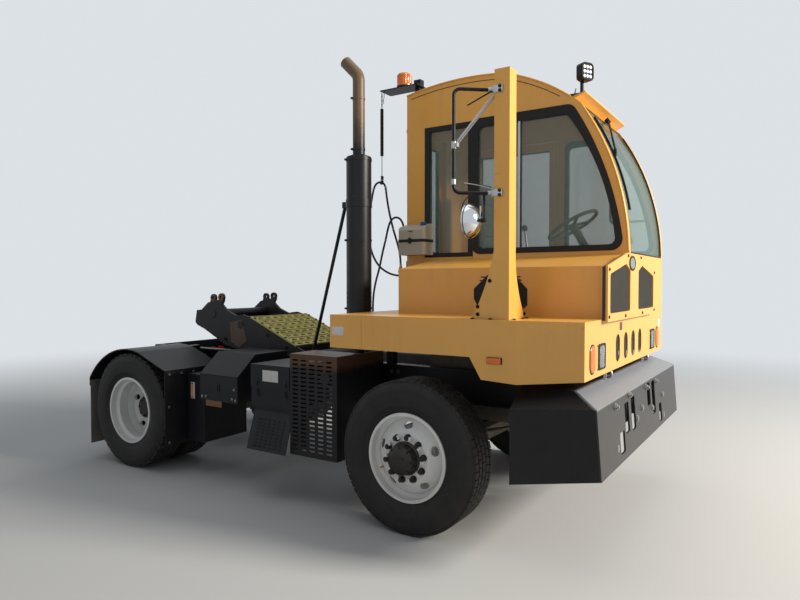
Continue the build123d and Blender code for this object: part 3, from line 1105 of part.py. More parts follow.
with BuildPart() as tail_lamps:
    for side in (-1, 1):
        for y in LAMP_Y:
            rod((RAIL_REAR_X - TAIL_PLATE + 1, side * y, LAMP_Z), (RAIL_REAR_X + 30, side * y, LAMP_Z), LAMP_R - FIT)
save(tail_lamps, "tail_lamps")

# Boom: side plates with twin-bump ears, pivot tube and cross tubes, shown raised
px, pz = BOOM_PIVOT_X, BOOM_PIVOT_Z
DECK_LOW = (px - 60, pz + 111)
DECK_HIGH = (px - 638, pz + 357)
BOOM_BELLY = [(px - 1031, pz + 88), (px - 690, pz + 15), (px - 100, pz - 45)]
BOOM_ARM = [
    (px + 60, pz - 35), (px + 60, pz + 65), DECK_LOW, DECK_HIGH, (px - 750, pz + 384), (px - 854, pz + 372),
    (px - 935, pz + 320), (px - 1010, pz + 235),
] + BOOM_BELLY
BOOM_EAR = [
    DECK_HIGH, (px - 854, pz + 368), (px - 984, pz + 417), (px - 1057, pz + 476), (px - 1032, pz + 520),
    (px - 1222, pz + 520), (px - 1229, pz + 498), (px - 1260, pz + 493), (px - 1361, pz + 418),
    (px - 1432, pz + 412), (px - 1457, pz + 291), (px - 1426, pz + 260), (px - 1317, pz + 223),
] + BOOM_BELLY[:1]
EAR_BUMPS = ((px - 1071, pz + 546, 40), (px - 1186, pz + 540, 38))
with BuildPart() as boom:
    for side in (-1, 1):
        arm_y = sorted((side * BOOM_HALF, side * (BOOM_HALF - BOOM_PLATE)))
        ear_y = sorted((side * (BOOM_HALF - BOOM_PLATE), side * (BOOM_HALF - BOOM_PLATE - EAR_PLATE)))
        with BuildSketch(Plane.XZ.offset(-arm_y[1])) as arm:
            with BuildLine():
                Polyline(BOOM_ARM, close=True)
            make_face()
            fillet(arm.vertices().sort_by(Axis.Y)[-3:-1], 40)
            with Locations((px - 1089, pz + 283), (px - 972, pz + 128)):
                Circle(11, mode=Mode.SUBTRACT)
        extrude(arm.sketch, amount=BOOM_PLATE)
        side_slab(BOOM_EAR, ear_y[0], ear_y[1])
        for bump_x, bump_z, bump_r in EAR_BUMPS:
            rod((bump_x, ear_y[0], bump_z), (bump_x, ear_y[1], bump_z), bump_r)
        for y in (LIFT_Y - 45, LIFT_Y + 45):
            lug = sorted((side * (y - 7), side * (y + 7)))
            side_slab([(LIFT_EYE_X - 50, LIFT_EYE_Z - 45), (LIFT_EYE_X + 50, LIFT_EYE_Z - 45),
                       (LIFT_EYE_X + 60, LIFT_EYE_Z + 130), (LIFT_EYE_X - 60, LIFT_EYE_Z + 130)], lug[0], lug[1])
    rod((px, -BOOM_HALF, pz), (px, BOOM_HALF, pz), BOOM_PIN_R + 25)
    rod((LIFT_EYE_X, -BOOM_HALF + 5, LIFT_EYE_Z + 120), (LIFT_EYE_X, BOOM_HALF - 5, LIFT_EYE_Z + 120), 38)
    tube_y = BOOM_HALF - BOOM_PLATE - EAR_PLATE
    rod((px - 1190, -tube_y - 5, pz + 380), (px - 1190, tube_y + 5, pz + 380), 45)
    rod((px, -BOOM_HALF, pz), (px, BOOM_HALF, pz), BOOM_PIN_R + FIT, mode=Mode.SUBTRACT)
    for bump_x, bump_z, _ in EAR_BUMPS:
        rod((bump_x, -BOOM_HALF, bump_z), (bump_x, BOOM_HALF, bump_z), EAR_BORE_R, mode=Mode.SUBTRACT)
save(boom, "boom")

DECK_HALF = BOOM_HALF + 10
DECK_T = 8
PLANKS = 4
slope = Vector(DECK_HIGH[0] - DECK_LOW[0], 0, DECK_HIGH[1] - DECK_LOW[1])
slope_length = slope.length
deck_plane = Plane(origin=(DECK_LOW[0], 0, DECK_LOW[1]), x_dir=slope, z_dir=(-slope.Z, 0, slope.X) if slope.X > 0 else (slope.Z, 0, -slope.X))
with BuildPart() as boom_deck:
    with BuildSketch(deck_plane):
        with Locations((slope_length / 2, 0)):
            Rectangle(slope_length, 2 * DECK_HALF)
            with GridLocations(slope_length / 8, 2 * DECK_HALF / 8, 8, 7):
                SlotOverall(66, 20, rotation=90, mode=Mode.SUBTRACT)
    extrude(amount=DECK_T)
    with BuildSketch(deck_plane.offset(DECK_T)):
        for plank in range(PLANKS + 1):
            with Locations((6 + plank * (slope_length - 12) / PLANKS, 0)):
                Rectangle(8, 2 * DECK_HALF - 10)
        with Locations((slope_length / 2, -DECK_HALF + 16), (slope_length / 2, DECK_HALF - 16)):
            Rectangle(slope_length, 26)
    extrude(amount=6)
save(boom_deck, "boom_deck")

# Lift cylinders: both barrels turn on the frame's pin, and both rods slide out of them to the boom's lugs
lift = Vector(LIFT_EYE_X - LIFT_BASE_X, 0, LIFT_EYE_Z - LIFT_BASE_Z)
lift_dir = lift.normalized()
with BuildPart() as lift_barrels:
    for y in (-LIFT_Y, LIFT_Y):
        base = Vector(LIFT_BASE_X, y, LIFT_BASE_Z)
        rod((LIFT_BASE_X, y - LIFT_EYE_W / 2, LIFT_BASE_Z), (LIFT_BASE_X, y + LIFT_EYE_W / 2, LIFT_BASE_Z), LIFT_EYE_R)
        rod(tuple(base + lift_dir * (LIFT_EYE_R - 8)), tuple(base + lift_dir * LIFT_BARREL_LEN), LIFT_BARREL_R)
        rod(tuple(base + lift_dir * (LIFT_EYE_R + 6)), tuple(base + lift_dir * (LIFT_BARREL_LEN + 2)),
            LIFT_ROD_R + FIT, mode=Mode.SUBTRACT)
        rod((LIFT_BASE_X, y - LIFT_EYE_W, LIFT_BASE_Z), (LIFT_BASE_X, y + LIFT_EYE_W, LIFT_BASE_Z),
            LIFT_PIN_R + FIT, mode=Mode.SUBTRACT)
save(lift_barrels, "lift_barrels")

with BuildPart() as lift_rods:
    for y in (-LIFT_Y, LIFT_Y):
        eye = Vector(LIFT_EYE_X, y, LIFT_EYE_Z)
        rod(tuple(eye - lift_dir * LIFT_ROD_LEN), tuple(eye), LIFT_ROD_R)
        rod((LIFT_EYE_X, y - LIFT_EYE_W / 2, LIFT_EYE_Z), (LIFT_EYE_X, y + LIFT_EYE_W / 2, LIFT_EYE_Z), LIFT_EYE_R)
save(lift_rods, "lift_rods")

# Wheels: rims, discs, hubs and drums in one piece, and the tyres on them
RIM_T = 8
DROP_R = 262


def rim_barrel(centre, side):
    """A rim's section as (y, radius) points, outer edge first."""
    flange, seat, slope_in = FLANGE_HALF, FLANGE_HALF - 12, 60
    top = [(flange, FLANGE_R), (seat, FLANGE_R), (seat, BEAD_R), (slope_in, BEAD_R - 2), (40, DROP_R), (-40, DROP_R),
           (-slope_in, BEAD_R - 2), (-seat, BEAD_R), (-seat, FLANGE_R), (-flange, FLANGE_R)]
    under = [(-flange, BEAD_R - RIM_T), (-slope_in - 6, BEAD_R - 2 - RIM_T), (-46, DROP_R - RIM_T),
             (46, DROP_R - RIM_T), (slope_in + 6, BEAD_R - 2 - RIM_T), (flange, BEAD_R - RIM_T)]
    return [(side * (centre + u), r) for u, r in top + under]


def tyre_ring(axle_x, centre, side):
    """A closed tyre whose beads seat between the rim's flanges."""
    bead = FLANGE_HALF - 12 - FIT
    half = TYRE_W / 2
    sign_y = side * centre
    with BuildSketch(wheel_plane(axle_x)) as section:
        with BuildLine():
            Polyline((sign_y - bead, BEAD_R + FIT), (sign_y + bead, BEAD_R + FIT), (sign_y + bead, FLANGE_R + 4))
            ThreePointArc((sign_y + bead, FLANGE_R + 4), (sign_y + half, 400), (sign_y + half - 18, TYRE_R - 30))
            Polyline((sign_y + half - 18, TYRE_R - 30), (sign_y + half - 34, TYRE_R), (sign_y - half + 34, TYRE_R),
                     (sign_y - half + 18, TYRE_R - 30))
            ThreePointArc((sign_y - half + 18, TYRE_R - 30), (sign_y - half, 400), (sign_y - bead, FLANGE_R + 4))
            Line((sign_y - bead, FLANGE_R + 4), (sign_y - bead, BEAD_R + FIT))
        make_face()
    revolve(section.sketch, axis=Axis((axle_x, 0, HUB_Z), (0, 1, 0)))


STUD_R = 143
NUT_R = 15
HAND_R = 212
for side, tag in ((1, "left"), (-1, "right")):
    with BuildPart() as front_rim:
        c = FRONT_WHEEL_Y
        turned(rim_barrel(c, side), FRONT_AXLE_X)
        turned([(side * (c + u), r) for u, r in
                ((20, DROP_R - 2), (34, DROP_R - 2), (60, 240), (112, 178), (118, 165), (118, 96), (190, 92), (196, 60),
                 (196, 0), (80, 0), (80, SPINDLE_R + FIT), (-75, SPINDLE_R + FIT), (-75, 205), (60, 205), (60, 165),
                 (108, 165), (104, 172), (50, 232))], FRONT_AXLE_X)
        face = side * (c + 60)
        with BuildSketch(Plane(origin=(FRONT_AXLE_X, side * (c + 10), HUB_Z), x_dir=(1, 0, 0), z_dir=(0, side, 0))):
            with PolarLocations(HAND_R, 5, start_angle=90):
                Ellipse(22, 34)
        extrude(amount=100, mode=Mode.SUBTRACT)
        with BuildSketch(Plane(origin=(FRONT_AXLE_X, side * (c + 116), HUB_Z), x_dir=(1, 0, 0), z_dir=(0, side, 0))):
            with PolarLocations(STUD_R, 10):
                RegularPolygon(NUT_R, 6)
        extrude(amount=30)
    save(front_rim, "front_rim_" + tag)
    with BuildPart() as front_tyre:
        tyre_ring(FRONT_AXLE_X, FRONT_WHEEL_Y, side)
    save(front_tyre, "front_tyre_" + tag)
    with BuildPart() as rear_rims:
        mount = (REAR_OUTER_Y + REAR_INNER_Y) / 2
        turned(rim_barrel(REAR_OUTER_Y, side), REAR_AXLE_X)
        turned(rim_barrel(REAR_INNER_Y, side), REAR_AXLE_X)
        for way in (-1, 1):
            turned([(side * (mount + way * u), r) for u, r in
                    ((0, 140), (14, 140), (14, 168), (76, 232), (142, DROP_R - 4), (128, DROP_R - 4), (60, 240),
                     (0, 178))], REAR_AXLE_X)
        turned([(side * (mount + u), r) for u, r in
                ((-250, 60 + FIT), (-250, 205), (-70, 205), (-70, 150), (14, 150), (14, 92), (116, 78), (130, 70),
                 (130, 0), (-14, 0), (-14, 60 + FIT))], REAR_AXLE_X)
        with BuildSketch(Plane(origin=(REAR_AXLE_X, side * (mount - 110), HUB_Z), x_dir=(1, 0, 0), z_dir=(0, side, 0))):
            with PolarLocations(HAND_R + 6, 5, start_angle=90):
                Ellipse(18, 30)
        extrude(amount=220, mode=Mode.SUBTRACT)
        with BuildSketch(Plane(origin=(REAR_AXLE_X, side * (mount + 12), HUB_Z), x_dir=(1, 0, 0), z_dir=(0, side, 0))):
            with PolarLocations(STUD_R, 10):
                RegularPolygon(NUT_R, 6)
        extrude(amount=34)
    save(rear_rims, "rear_rims_" + tag)
    with BuildPart() as rear_tyres:
        tyre_ring(REAR_AXLE_X, REAR_OUTER_Y, side)
        tyre_ring(REAR_AXLE_X, REAR_INNER_Y, side)
    save(rear_tyres, "rear_tyres_" + tag)
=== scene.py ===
# %% [markdown]
# # A terminal tractor, dressed over its CAD frame
# The imported CAD model comes in first and stays where it is. Every piece made here is in metres in
# the same frame: +X ahead, +Y to the driver's left, +Z up, with the ground at zero.

import math

import bmesh
import bpy
from mathutils import Matrix, Vector


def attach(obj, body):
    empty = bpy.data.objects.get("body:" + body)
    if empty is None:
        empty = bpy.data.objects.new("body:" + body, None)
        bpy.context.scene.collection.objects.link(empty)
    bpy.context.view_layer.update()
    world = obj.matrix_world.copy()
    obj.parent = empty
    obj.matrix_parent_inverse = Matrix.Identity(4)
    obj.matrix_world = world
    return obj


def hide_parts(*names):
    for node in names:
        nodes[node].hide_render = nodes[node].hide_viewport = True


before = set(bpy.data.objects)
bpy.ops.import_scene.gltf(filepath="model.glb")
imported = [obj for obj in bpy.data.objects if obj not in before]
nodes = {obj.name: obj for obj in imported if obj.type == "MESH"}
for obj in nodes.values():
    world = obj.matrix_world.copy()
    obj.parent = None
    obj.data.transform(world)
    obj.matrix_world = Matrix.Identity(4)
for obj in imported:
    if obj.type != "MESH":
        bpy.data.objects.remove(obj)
scene = bpy.context.scene
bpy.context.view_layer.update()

# %% Measures that many pieces share
FRONT_AXLE, REAR_AXLE = 1.140, -1.810
WHEEL_Z = 0.515  # the centre height of every wheel
FRONT_WHEEL_Y = 1.040
INNER_WHEEL_Y, OUTER_WHEEL_Y = 0.745, 1.088
X_WAY, Y_WAY, UP = (1, 0, 0), (0, 1, 0), (0, 0, 1)
SIDES = ((1, "left"), (-1, "right"))


def ahead(distance):
    """The x of a point that far ahead of the front axle."""
    return FRONT_AXLE + distance


def set_out(name, data):
    """A new object in the scene, at the origin and unturned."""
    piece = bpy.data.objects.new(name, data)
    scene.collection.objects.link(piece)
    return piece


print("axles", FRONT_AXLE, REAR_AXLE, "wheel height", WHEEL_Z)

# %% [markdown]
# ## Helpers for node trees
# The floor, the sky, the finishes and the shapes that repeat are all built from nodes. They could be
# written out node by node, but a handful of helpers keeps each finish readable.

# %% Node helpers


def put(tree, value, socket):
    """Links an output to a socket, or sets the socket's own value."""
    if isinstance(value, bpy.types.NodeSocket):
        tree.links.new(value, socket)
    else:
        socket.default_value = value


def make(tree, kind, inputs=(), **settings):
    """A node of a kind with its settings, and its inputs by name or number."""
    fresh = tree.nodes.new(kind)
    for key, value in settings.items():
        setattr(fresh, key, value)
    fill(tree, fresh, dict(inputs))
    return fresh


def fill(tree, node, inputs):
    """Gives several inputs of a node their values."""
    for key, value in inputs.items():
        put(tree, value, node.inputs[key])


def noise(tree, vector, scale, detail=4.0, rough=0.55):
    """A noise value at a scale in turns per metre."""
    inputs = {"Vector": vector, "Scale": scale, "Detail": detail, "Roughness": rough}
    return make(tree, "ShaderNodeTexNoise", inputs).outputs["Fac"]


def between(tree, value, low, high, out_low=0.0, out_high=1.0):
    """A value mapped from one range to another, held inside it."""
    inputs = {"Value": value, "From Min": low, "From Max": high, "To Min": out_low, "To Max": out_high}
    return make(tree, "ShaderNodeMapRange", inputs, clamp=True).outputs["Result"]


def sum_of(tree, first, second, way="ADD"):
    """Two values added, or joined in another way."""
    return make(tree, "ShaderNodeMath", {0: first, 1: second}, operation=way).outputs[0]


def times(tree, first, second):
    """Two values multiplied."""
    return sum_of(tree, first, second, "MULTIPLY")


def rgba(colour):
    """Three numbers as an opaque colour. An output stays as it is."""
    return (*colour, 1) if isinstance(colour, tuple) else colour


def blend_colours(tree, factor, first, second):
    """A colour between two colours."""
    fresh = make(tree, "ShaderNodeMix", data_type="RGBA")
    put(tree, factor, fresh.inputs["Factor"])
    for colour, socket in zip((first, second), [s for s in fresh.inputs if s.type == "RGBA"]):
        put(tree, rgba(colour), socket)
    return [s for s in fresh.outputs if s.type == "RGBA"][0]


def object_place(tree):
    """The Object coordinates, the only ones that the finishes use."""
    return make(tree, "ShaderNodeTexCoord").outputs["Object"]


def new_finish(name):
    """A new material with its tree and its Principled shader."""
    finish = bpy.data.materials.new(name)
    finish.use_nodes = True
    return finish, finish.node_tree, finish.node_tree.nodes["Principled BSDF"]


print("node helpers ready")

# %% [markdown]
# ## Camera
# The real picture was taken from ahead of the right front wheel, with the lens about 1.66 m above
# the ground and tipped down a little. A camera could be aimed with a Track To constraint, but a
# fixed place and turn are plainer and can be checked against measured points. The lens is given for
# a 36 mm sensor.

# %% Camera
camera_data = bpy.data.cameras.new("yard_view")
camera_data.lens = 28.11
camera_data.sensor_width = 36
camera_data.clip_end = 200
camera = set_out("yard_view", camera_data)
camera.location = (3.335, -4.606, 1.662)
camera.rotation_euler = (math.radians(88.54), 0, math.radians(32.99))
scene.camera = camera
print("camera", tuple(round(v, 3) for v in camera.location))

# %% [markdown]
# ## Floor and light
# A plain pale floor carries the shadow. The low sun of the yard comes from ahead and from the left,
# so the front faces are bright and the right side is in open shade. A Sun lamp would give hard edges
# in every reflection, so large area lamps stand in for the sun and for the bright sky.
# The world is a pale wall to the eye and in reflections, and a weak grey light to everything else.

# %% Floor
PALE = (0.80, 0.84, 0.88, 1)
PALE_GLOW = 0.9
FLOOR_REACH = 60
HAZE_START, HAZE_FULL = 3.6, 13.0
floor_mesh = bpy.data.meshes.new("pale_floor")
corners = [(x * FLOOR_REACH, y * FLOOR_REACH, 0) for x, y in ((-1, -1), (1, -1), (1, 1), (-1, 1))]
floor_mesh.from_pydata(corners, [], [(0, 1, 2, 3)])
floor = set_out("pale_floor", floor_mesh)
floor_finish, tree, shader = new_finish("pale_floor")
fill(tree, shader, {"Base Color": (0.50, 0.50, 0.49, 1), "Roughness": 0.9})
reach = make(tree, "ShaderNodeVectorMath", {0: object_place(tree)}, operation="LENGTH")
far_away = make(tree, "ShaderNodeMapRange",
                {"Value": reach.outputs["Value"], "From Min": HAZE_START, "From Max": HAZE_FULL},
                interpolation_type="SMOOTHSTEP")
haze = make(tree, "ShaderNodeEmission", {"Color": PALE, "Strength": PALE_GLOW})
fade = make(tree, "ShaderNodeMixShader",
            {0: far_away.outputs["Result"], 1: shader.outputs[0], 2: haze.outputs[0]})
put(tree, fade.outputs[0], tree.nodes["Material Output"].inputs["Surface"])
floor_mesh.materials.append(floor_finish)
print("floor", floor.name)

# %% Lamps


def area_lamp(name, place, target, size, power, colour):
    """A square lamp that looks from its place to a target."""
    lamp = bpy.data.lights.new(name, "AREA")
    lamp.size, lamp.energy, lamp.color = size, power, colour
    holder = set_out(name, lamp)
    holder.location = place
    holder.rotation_euler = (Vector(target) - Vector(place)).to_track_quat("-Z", "Y").to_euler()


area_lamp("sun_side", (12, 2.6, 6.2), (0.6, 0, 1.4), 2.6, 2500, (1, 0.95, 0.86))
area_lamp("sky_above", (0, 0, 10), (0, 0, 0), 10, 260, (0.93, 0.96, 1))
area_lamp("camera_side", (1, -11, 5), (0, 0, 1.2), 8, 70, (0.96, 0.98, 1))

# %% World
world = bpy.data.worlds.new("pale_yard")
scene.world = world
world.use_nodes = True
sky = world.node_tree
sky.nodes.clear()
ray = make(sky, "ShaderNodeLightPath").outputs
seen = sum_of(sky, ray["Is Camera Ray"], ray["Is Transmission Ray"], "MAXIMUM")
seen = sum_of(sky, seen, ray["Is Glossy Ray"], "MAXIMUM")
wall = make(sky, "ShaderNodeBackground", {"Color": PALE, "Strength": PALE_GLOW})
grey = make(sky, "ShaderNodeBackground", {"Color": (0.86, 0.92, 1.0, 1), "Strength": 0.22})
mix = make(sky, "ShaderNodeMixShader", {0: seen, 1: grey.outputs[0], 2: wall.outputs[0]})
make(sky, "ShaderNodeOutputWorld", {0: mix.outputs[0]})
scene.view_settings.view_transform = "Standard"
print("world", world.name)

# %% [markdown]
# ## Effects that several finishes share
# A working yard truck is never one flat colour: dust lies low on it, rain draws streaks down its
# sides, and stones chip its paint. Each effect could be painted as an image, but noise on Object
# coordinates keeps its scale on every piece and needs no unwrapping. Each effect is one node group
# with named inputs, built once and placed in every finish that needs it.

# %% Effect helpers


def effect(name, inputs, outputs):
    """An empty node group with named number inputs and outputs."""
    group = bpy.data.node_groups.new(name, "ShaderNodeTree")
    for label, value in inputs.items():
        socket = group.interface.new_socket(label, in_out="INPUT", socket_type="NodeSocketFloat")
        socket.default_value = value
    for label in outputs:
        group.interface.new_socket(label, in_out="OUTPUT", socket_type="NodeSocketFloat")
    entry = make(group, "NodeGroupInput")
    leave = make(group, "NodeGroupOutput")
    return group, entry.outputs, leave.inputs, object_place(group)


def use(tree, group, **values):
    """One effect placed in a material with its own values. Underscores stand for spaces."""
    inputs = {key.replace("_", " ").capitalize(): value for key, value in values.items()}
    return make(tree, "ShaderNodeGroup", inputs, node_tree=group).outputs


# %% Dust that lies low
road_dust, given, leaves, place = effect(
    "road_dust", {"Low": 0.2, "High": 1.6, "Amount": 0.6, "Scale": 5.0}, ["Mask"])
height = make(road_dust, "ShaderNodeSeparateXYZ", {0: place}).outputs["Z"]
fall = between(road_dust, height, given["Low"], given["High"], 1.0, 0.0)
cloud = between(road_dust, noise(road_dust, place, given["Scale"], 8, 0.65), 0.32, 0.72)
spread = sum_of(road_dust, times(road_dust, fall, cloud), times(road_dust, fall, 0.35))
put(road_dust, times(road_dust, spread, given["Amount"]), leaves["Mask"])

# %% Streaks that rain leaves
rain_streaks, given, leaves, place = effect(
    "rain_streaks", {"Scale": 30.0, "Amount": 0.5, "Cover": 0.5}, ["Mask"])
drawn_out = make(rain_streaks, "ShaderNodeMapping", {"Scale": (1, 1, 0.05), "Vector": place}).outputs[0]
line = between(rain_streaks, noise(rain_streaks, drawn_out, given["Scale"], 3, 0.6), 0.48, 0.75)
patch = between(rain_streaks, noise(rain_streaks, place, 1.7, 3, 0.5), given["Cover"], 0.75)
put(rain_streaks, times(rain_streaks, times(rain_streaks, line, patch), given["Amount"]), leaves["Mask"])

# %% Chips and scratches
stone_chips, given, leaves, place = effect(
    "stone_chips", {"Scale": 60.0, "Cover": 0.7, "Scratches": 0.5}, ["Mask", "Height"])
chip = between(stone_chips, noise(stone_chips, place, given["Scale"], 6, 0.7), given["Cover"], 0.78)
tilted = make(stone_chips, "ShaderNodeMapping",
              {"Rotation": (0.3, 0.5, 0.9), "Scale": (0.6, 14, 9), "Vector": place}).outputs[0]
scratch = between(stone_chips, noise(stone_chips, tilted, 6, 2, 0.5), 0.72, 0.76)
scratch = times(stone_chips, scratch, between(stone_chips, noise(stone_chips, place, 2.3, 2), 0.5, 0.62))
scratch = times(stone_chips, scratch, given["Scratches"])
both = sum_of(stone_chips, chip, scratch, "MAXIMUM")
put(stone_chips, both, leaves["Mask"])
put(stone_chips, times(stone_chips, both, -1.0), leaves["Height"])

# %% Mottle: slow changes of tone, and a fine skin
mottle, given, leaves, place = effect("mottle", {"Scale": 2.0, "Fine": 180.0}, ["Tone", "Skin"])
put(mottle, between(mottle, noise(mottle, place, given["Scale"], 6, 0.6), 0.25, 0.75), leaves["Tone"])
put(mottle, noise(mottle, place, given["Fine"], 3, 0.5), leaves["Skin"])

# %% Wear, and on the bumper painted sheen, that grows along a direction
wear_and_sheen_band, given, leaves, place = effect(
    "wear_and_sheen_band", {"Along x": 0.0, "Along z": 1.0, "Low": 0.0, "High": 1.0, "Torn": 0.1}, ["Mask"])
split = make(wear_and_sheen_band, "ShaderNodeSeparateXYZ", {0: place}).outputs
along = sum_of(wear_and_sheen_band, times(wear_and_sheen_band, split["X"], given["Along x"]),
               times(wear_and_sheen_band, split["Z"], given["Along z"]))
shake = sum_of(wear_and_sheen_band, noise(wear_and_sheen_band, place, 16, 8, 0.7), -0.5)
along = sum_of(wear_and_sheen_band, along, times(wear_and_sheen_band, shake, given["Torn"]))
put(wear_and_sheen_band, between(wear_and_sheen_band, along, given["Low"], given["High"]), leaves["Mask"])
print("effects", [g.name for g in bpy.data.node_groups])

# %% [markdown]
# ## Finishes
# Each finish is one Principled shader. Its base colour goes from the clean paint to the worn, dusty
# or chipped one by the shared masks, its roughness rises where dust lies, and its bump takes the
# chips and the fine skin. A second, darker colour for chips shows the primer or bare metal.

# %% Painted and worn surfaces
DUST = (0.30, 0.25, 0.19)


def weathered(name, paint, worn, roughness, dust=0.5, low=0.1, high=1.7, chips=0.74, scratches=0.4,
              streaks=0.3, streak_colour=(0.10, 0.07, 0.04), metallic=0.0, coat=0.0, skin=0.00015,
              dust_colour=DUST, tone=0.18, mottle_scale=2.0, bands=(), sheen=0.5):
    """A painted or bare surface with dust, streaks and chips."""
    finish, tree, shader = new_finish(name)
    tones = use(tree, mottle, scale=mottle_scale)
    dusted = use(tree, road_dust, low=low, high=high, amount=dust)["Mask"]
    streaked = use(tree, rain_streaks, amount=streaks)["Mask"]
    chipped = use(tree, stone_chips, cover=chips, scratches=scratches)
    colour = blend_colours(tree, tones["Tone"], tuple(c * (1 - tone) for c in paint), paint)
    # bands blend in worn colours, and on the bumper painted sheen and a painted highlight
    for edges, tint in bands:
        colour = blend_colours(tree, use(tree, wear_and_sheen_band, **edges)["Mask"], colour, tint)
    for mask, tint in ((streaked, streak_colour), (chipped["Mask"], worn), (dusted, dust_colour)):
        colour = blend_colours(tree, mask, colour, tint)
    rough = between(tree, dusted, 0, 1, roughness, 0.85)
    rough = sum_of(tree, rough, times(tree, chipped["Mask"], 0.2))
    relief = sum_of(tree, chipped["Height"], times(tree, tones["Skin"], skin * 1000))
    bump = make(tree, "ShaderNodeBump", {"Distance": 0.0008, "Strength": 0.5, "Height": relief})
    fill(tree, shader, {"Base Color": colour, "Roughness": rough, "Metallic": metallic,
                        "Specular IOR Level": sheen, "Coat Weight": coat, "Coat Roughness": 0.25,
                        "Normal": bump.outputs[0]})
    return finish


YELLOW = weathered("yellow_body_paint", (0.80, 0.385, 0.055), (0.20, 0.13, 0.08), 0.38, dust=0.30,
                   low=0.9, high=2.2, chips=0.755, scratches=0.5, streaks=0.32, coat=0.25, tone=0.10,
                   streak_colour=(0.35, 0.17, 0.03), dust_colour=(0.50, 0.34, 0.14))
BLACK = weathered("black_frame_paint", (0.0055, 0.006, 0.0085), (0.060, 0.045, 0.036), 0.42, dust=0.10,
                  low=0.1, high=1.6, chips=0.70, scratches=0.8, streaks=0.2, sheen=0.22,
                  streak_colour=(0.028, 0.028, 0.030), dust_colour=(0.085, 0.078, 0.072), tone=0.3)
BUMPER = weathered("worn_bumper_steel_painted_sheen", (0.006, 0.006, 0.008), (0.13, 0.11, 0.09), 0.36, dust=0.10,
                   low=0.3, high=1.3, chips=0.69, scratches=1.0, streaks=0.45, sheen=0.25,
                   streak_colour=(0.045, 0.042, 0.040), dust_colour=(0.10, 0.09, 0.08), tone=0.35,
                   # painted light: the first band lightens the leaning front face as painted sheen, the second
                   # lays a pale blue-grey strip along the top front edge as a painted highlight
                   bands=[(dict(along_x=1.0, along_z=0.0759, low=2.450, high=2.460, torn=0.006),
                           (0.034, 0.032, 0.031)),
                          (dict(along_x=0.4667, along_z=1.0, low=2.078, high=2.087, torn=0.008),
                           (0.21, 0.22, 0.24))])
BOOM = weathered("greased_boom_paint", (0.009, 0.009, 0.011), (0.16, 0.07, 0.03), 0.45, dust=0.16,
                 low=0.7, high=1.9, chips=0.66, scratches=0.8, streaks=0.4, sheen=0.25,
                 streak_colour=(0.10, 0.055, 0.030), dust_colour=(0.09, 0.075, 0.065), tone=0.3)
WHEEL = weathered("white_wheel_paint", (0.78, 0.78, 0.77), (0.22, 0.12, 0.06), 0.42, dust=0.30, low=0.0,
                  high=1.1, chips=0.76, scratches=0.2, streaks=0.15, dust_colour=(0.40, 0.33, 0.26),
                  tone=0.08)
ENGINE = weathered("engine_casting", (0.045, 0.045, 0.05), (0.10, 0.06, 0.04), 0.6, dust=0.5,
                   chips=0.68, streaks=0.6, tone=0.4, skin=0.0006)
AXLE = weathered("axle_casting", (0.02, 0.02, 0.02), (0.12, 0.06, 0.03), 0.65, dust=0.5, chips=0.66,
                 streaks=0.3, tone=0.4, skin=0.0006)
STACK = weathered("exhaust_black", (0.006, 0.006, 0.008), (0.12, 0.07, 0.04), 0.40, dust=0.02, low=1.2,
                  high=2.6, chips=0.72, scratches=0.5, streaks=0.3, sheen=0.25,
                  streak_colour=(0.03, 0.027, 0.025), tone=0.3,
                  bands=[(dict(along_z=1.0, low=2.72, high=3.05, torn=0.2), (0.15, 0.095, 0.055))])
GUARD = weathered("scraped_guard_paint", (0.008, 0.008, 0.010), (0.075, 0.05, 0.035), 0.45, dust=0.12,
                  low=0.1, high=1.3, chips=0.68, scratches=1.0, streaks=0.25, tone=0.3, sheen=0.22,
                  streak_colour=(0.05, 0.03, 0.02), dust_colour=(0.07, 0.06, 0.05),
                  bands=[(dict(along_z=1.0, low=1.02, high=1.07, torn=0.12), (0.085, 0.042, 0.022))])
MESH_PAINT = weathered("mesh_wire_paint", (0.085, 0.080, 0.070), (0.12, 0.10, 0.08), 0.55, dust=0.3,
                       tone=0.3)
STEEL = weathered("dull_steel", (0.42, 0.42, 0.42), (0.20, 0.10, 0.05), 0.38, dust=0.25, metallic=0.9,
                  chips=0.72, streaks=0.3, tone=0.25)
HUB = weathered("hub_paint", (0.010, 0.008, 0.007), (0.09, 0.05, 0.03), 0.35, dust=0.10, high=1.2,
                sheen=0.3, chips=0.70, scratches=0.3, streaks=0.1, tone=0.3)
RUST = weathered("rusted_steel", (0.20, 0.085, 0.035), (0.07, 0.035, 0.02), 0.75, dust=0.2, chips=0.60,
                 streaks=0.5, tone=0.4, mottle_scale=18.0)
GRATING = weathered("olive_grating_paint", (0.62, 0.54, 0.13), (0.10, 0.06, 0.035), 0.55, dust=0.35,
                    low=0.8, high=1.6, chips=0.66, scratches=0.9, streaks=0.4, tone=0.35,
                    mottle_scale=9.0, dust_colour=(0.20, 0.17, 0.12))
TANK = weathered("white_tank_plastic", (0.72, 0.72, 0.66), (0.45, 0.40, 0.30), 0.4, dust=0.1, low=1.5,
                 high=2.4, chips=0.8, streaks=0.3, tone=0.12)
FLAP = weathered("flap_rubber", (0.12, 0.12, 0.12), (0.16, 0.15, 0.14), 0.75, dust=0.4, high=1.1,
                 chips=0.72, streaks=0.5, tone=0.3)
SEAL = weathered("seal_rubber", (0.006, 0.006, 0.008), (0.02, 0.02, 0.02), 0.55, dust=0.03, sheen=0.2,
                 low=1.5, high=3.2, chips=0.80, streaks=0.1, tone=0.2)
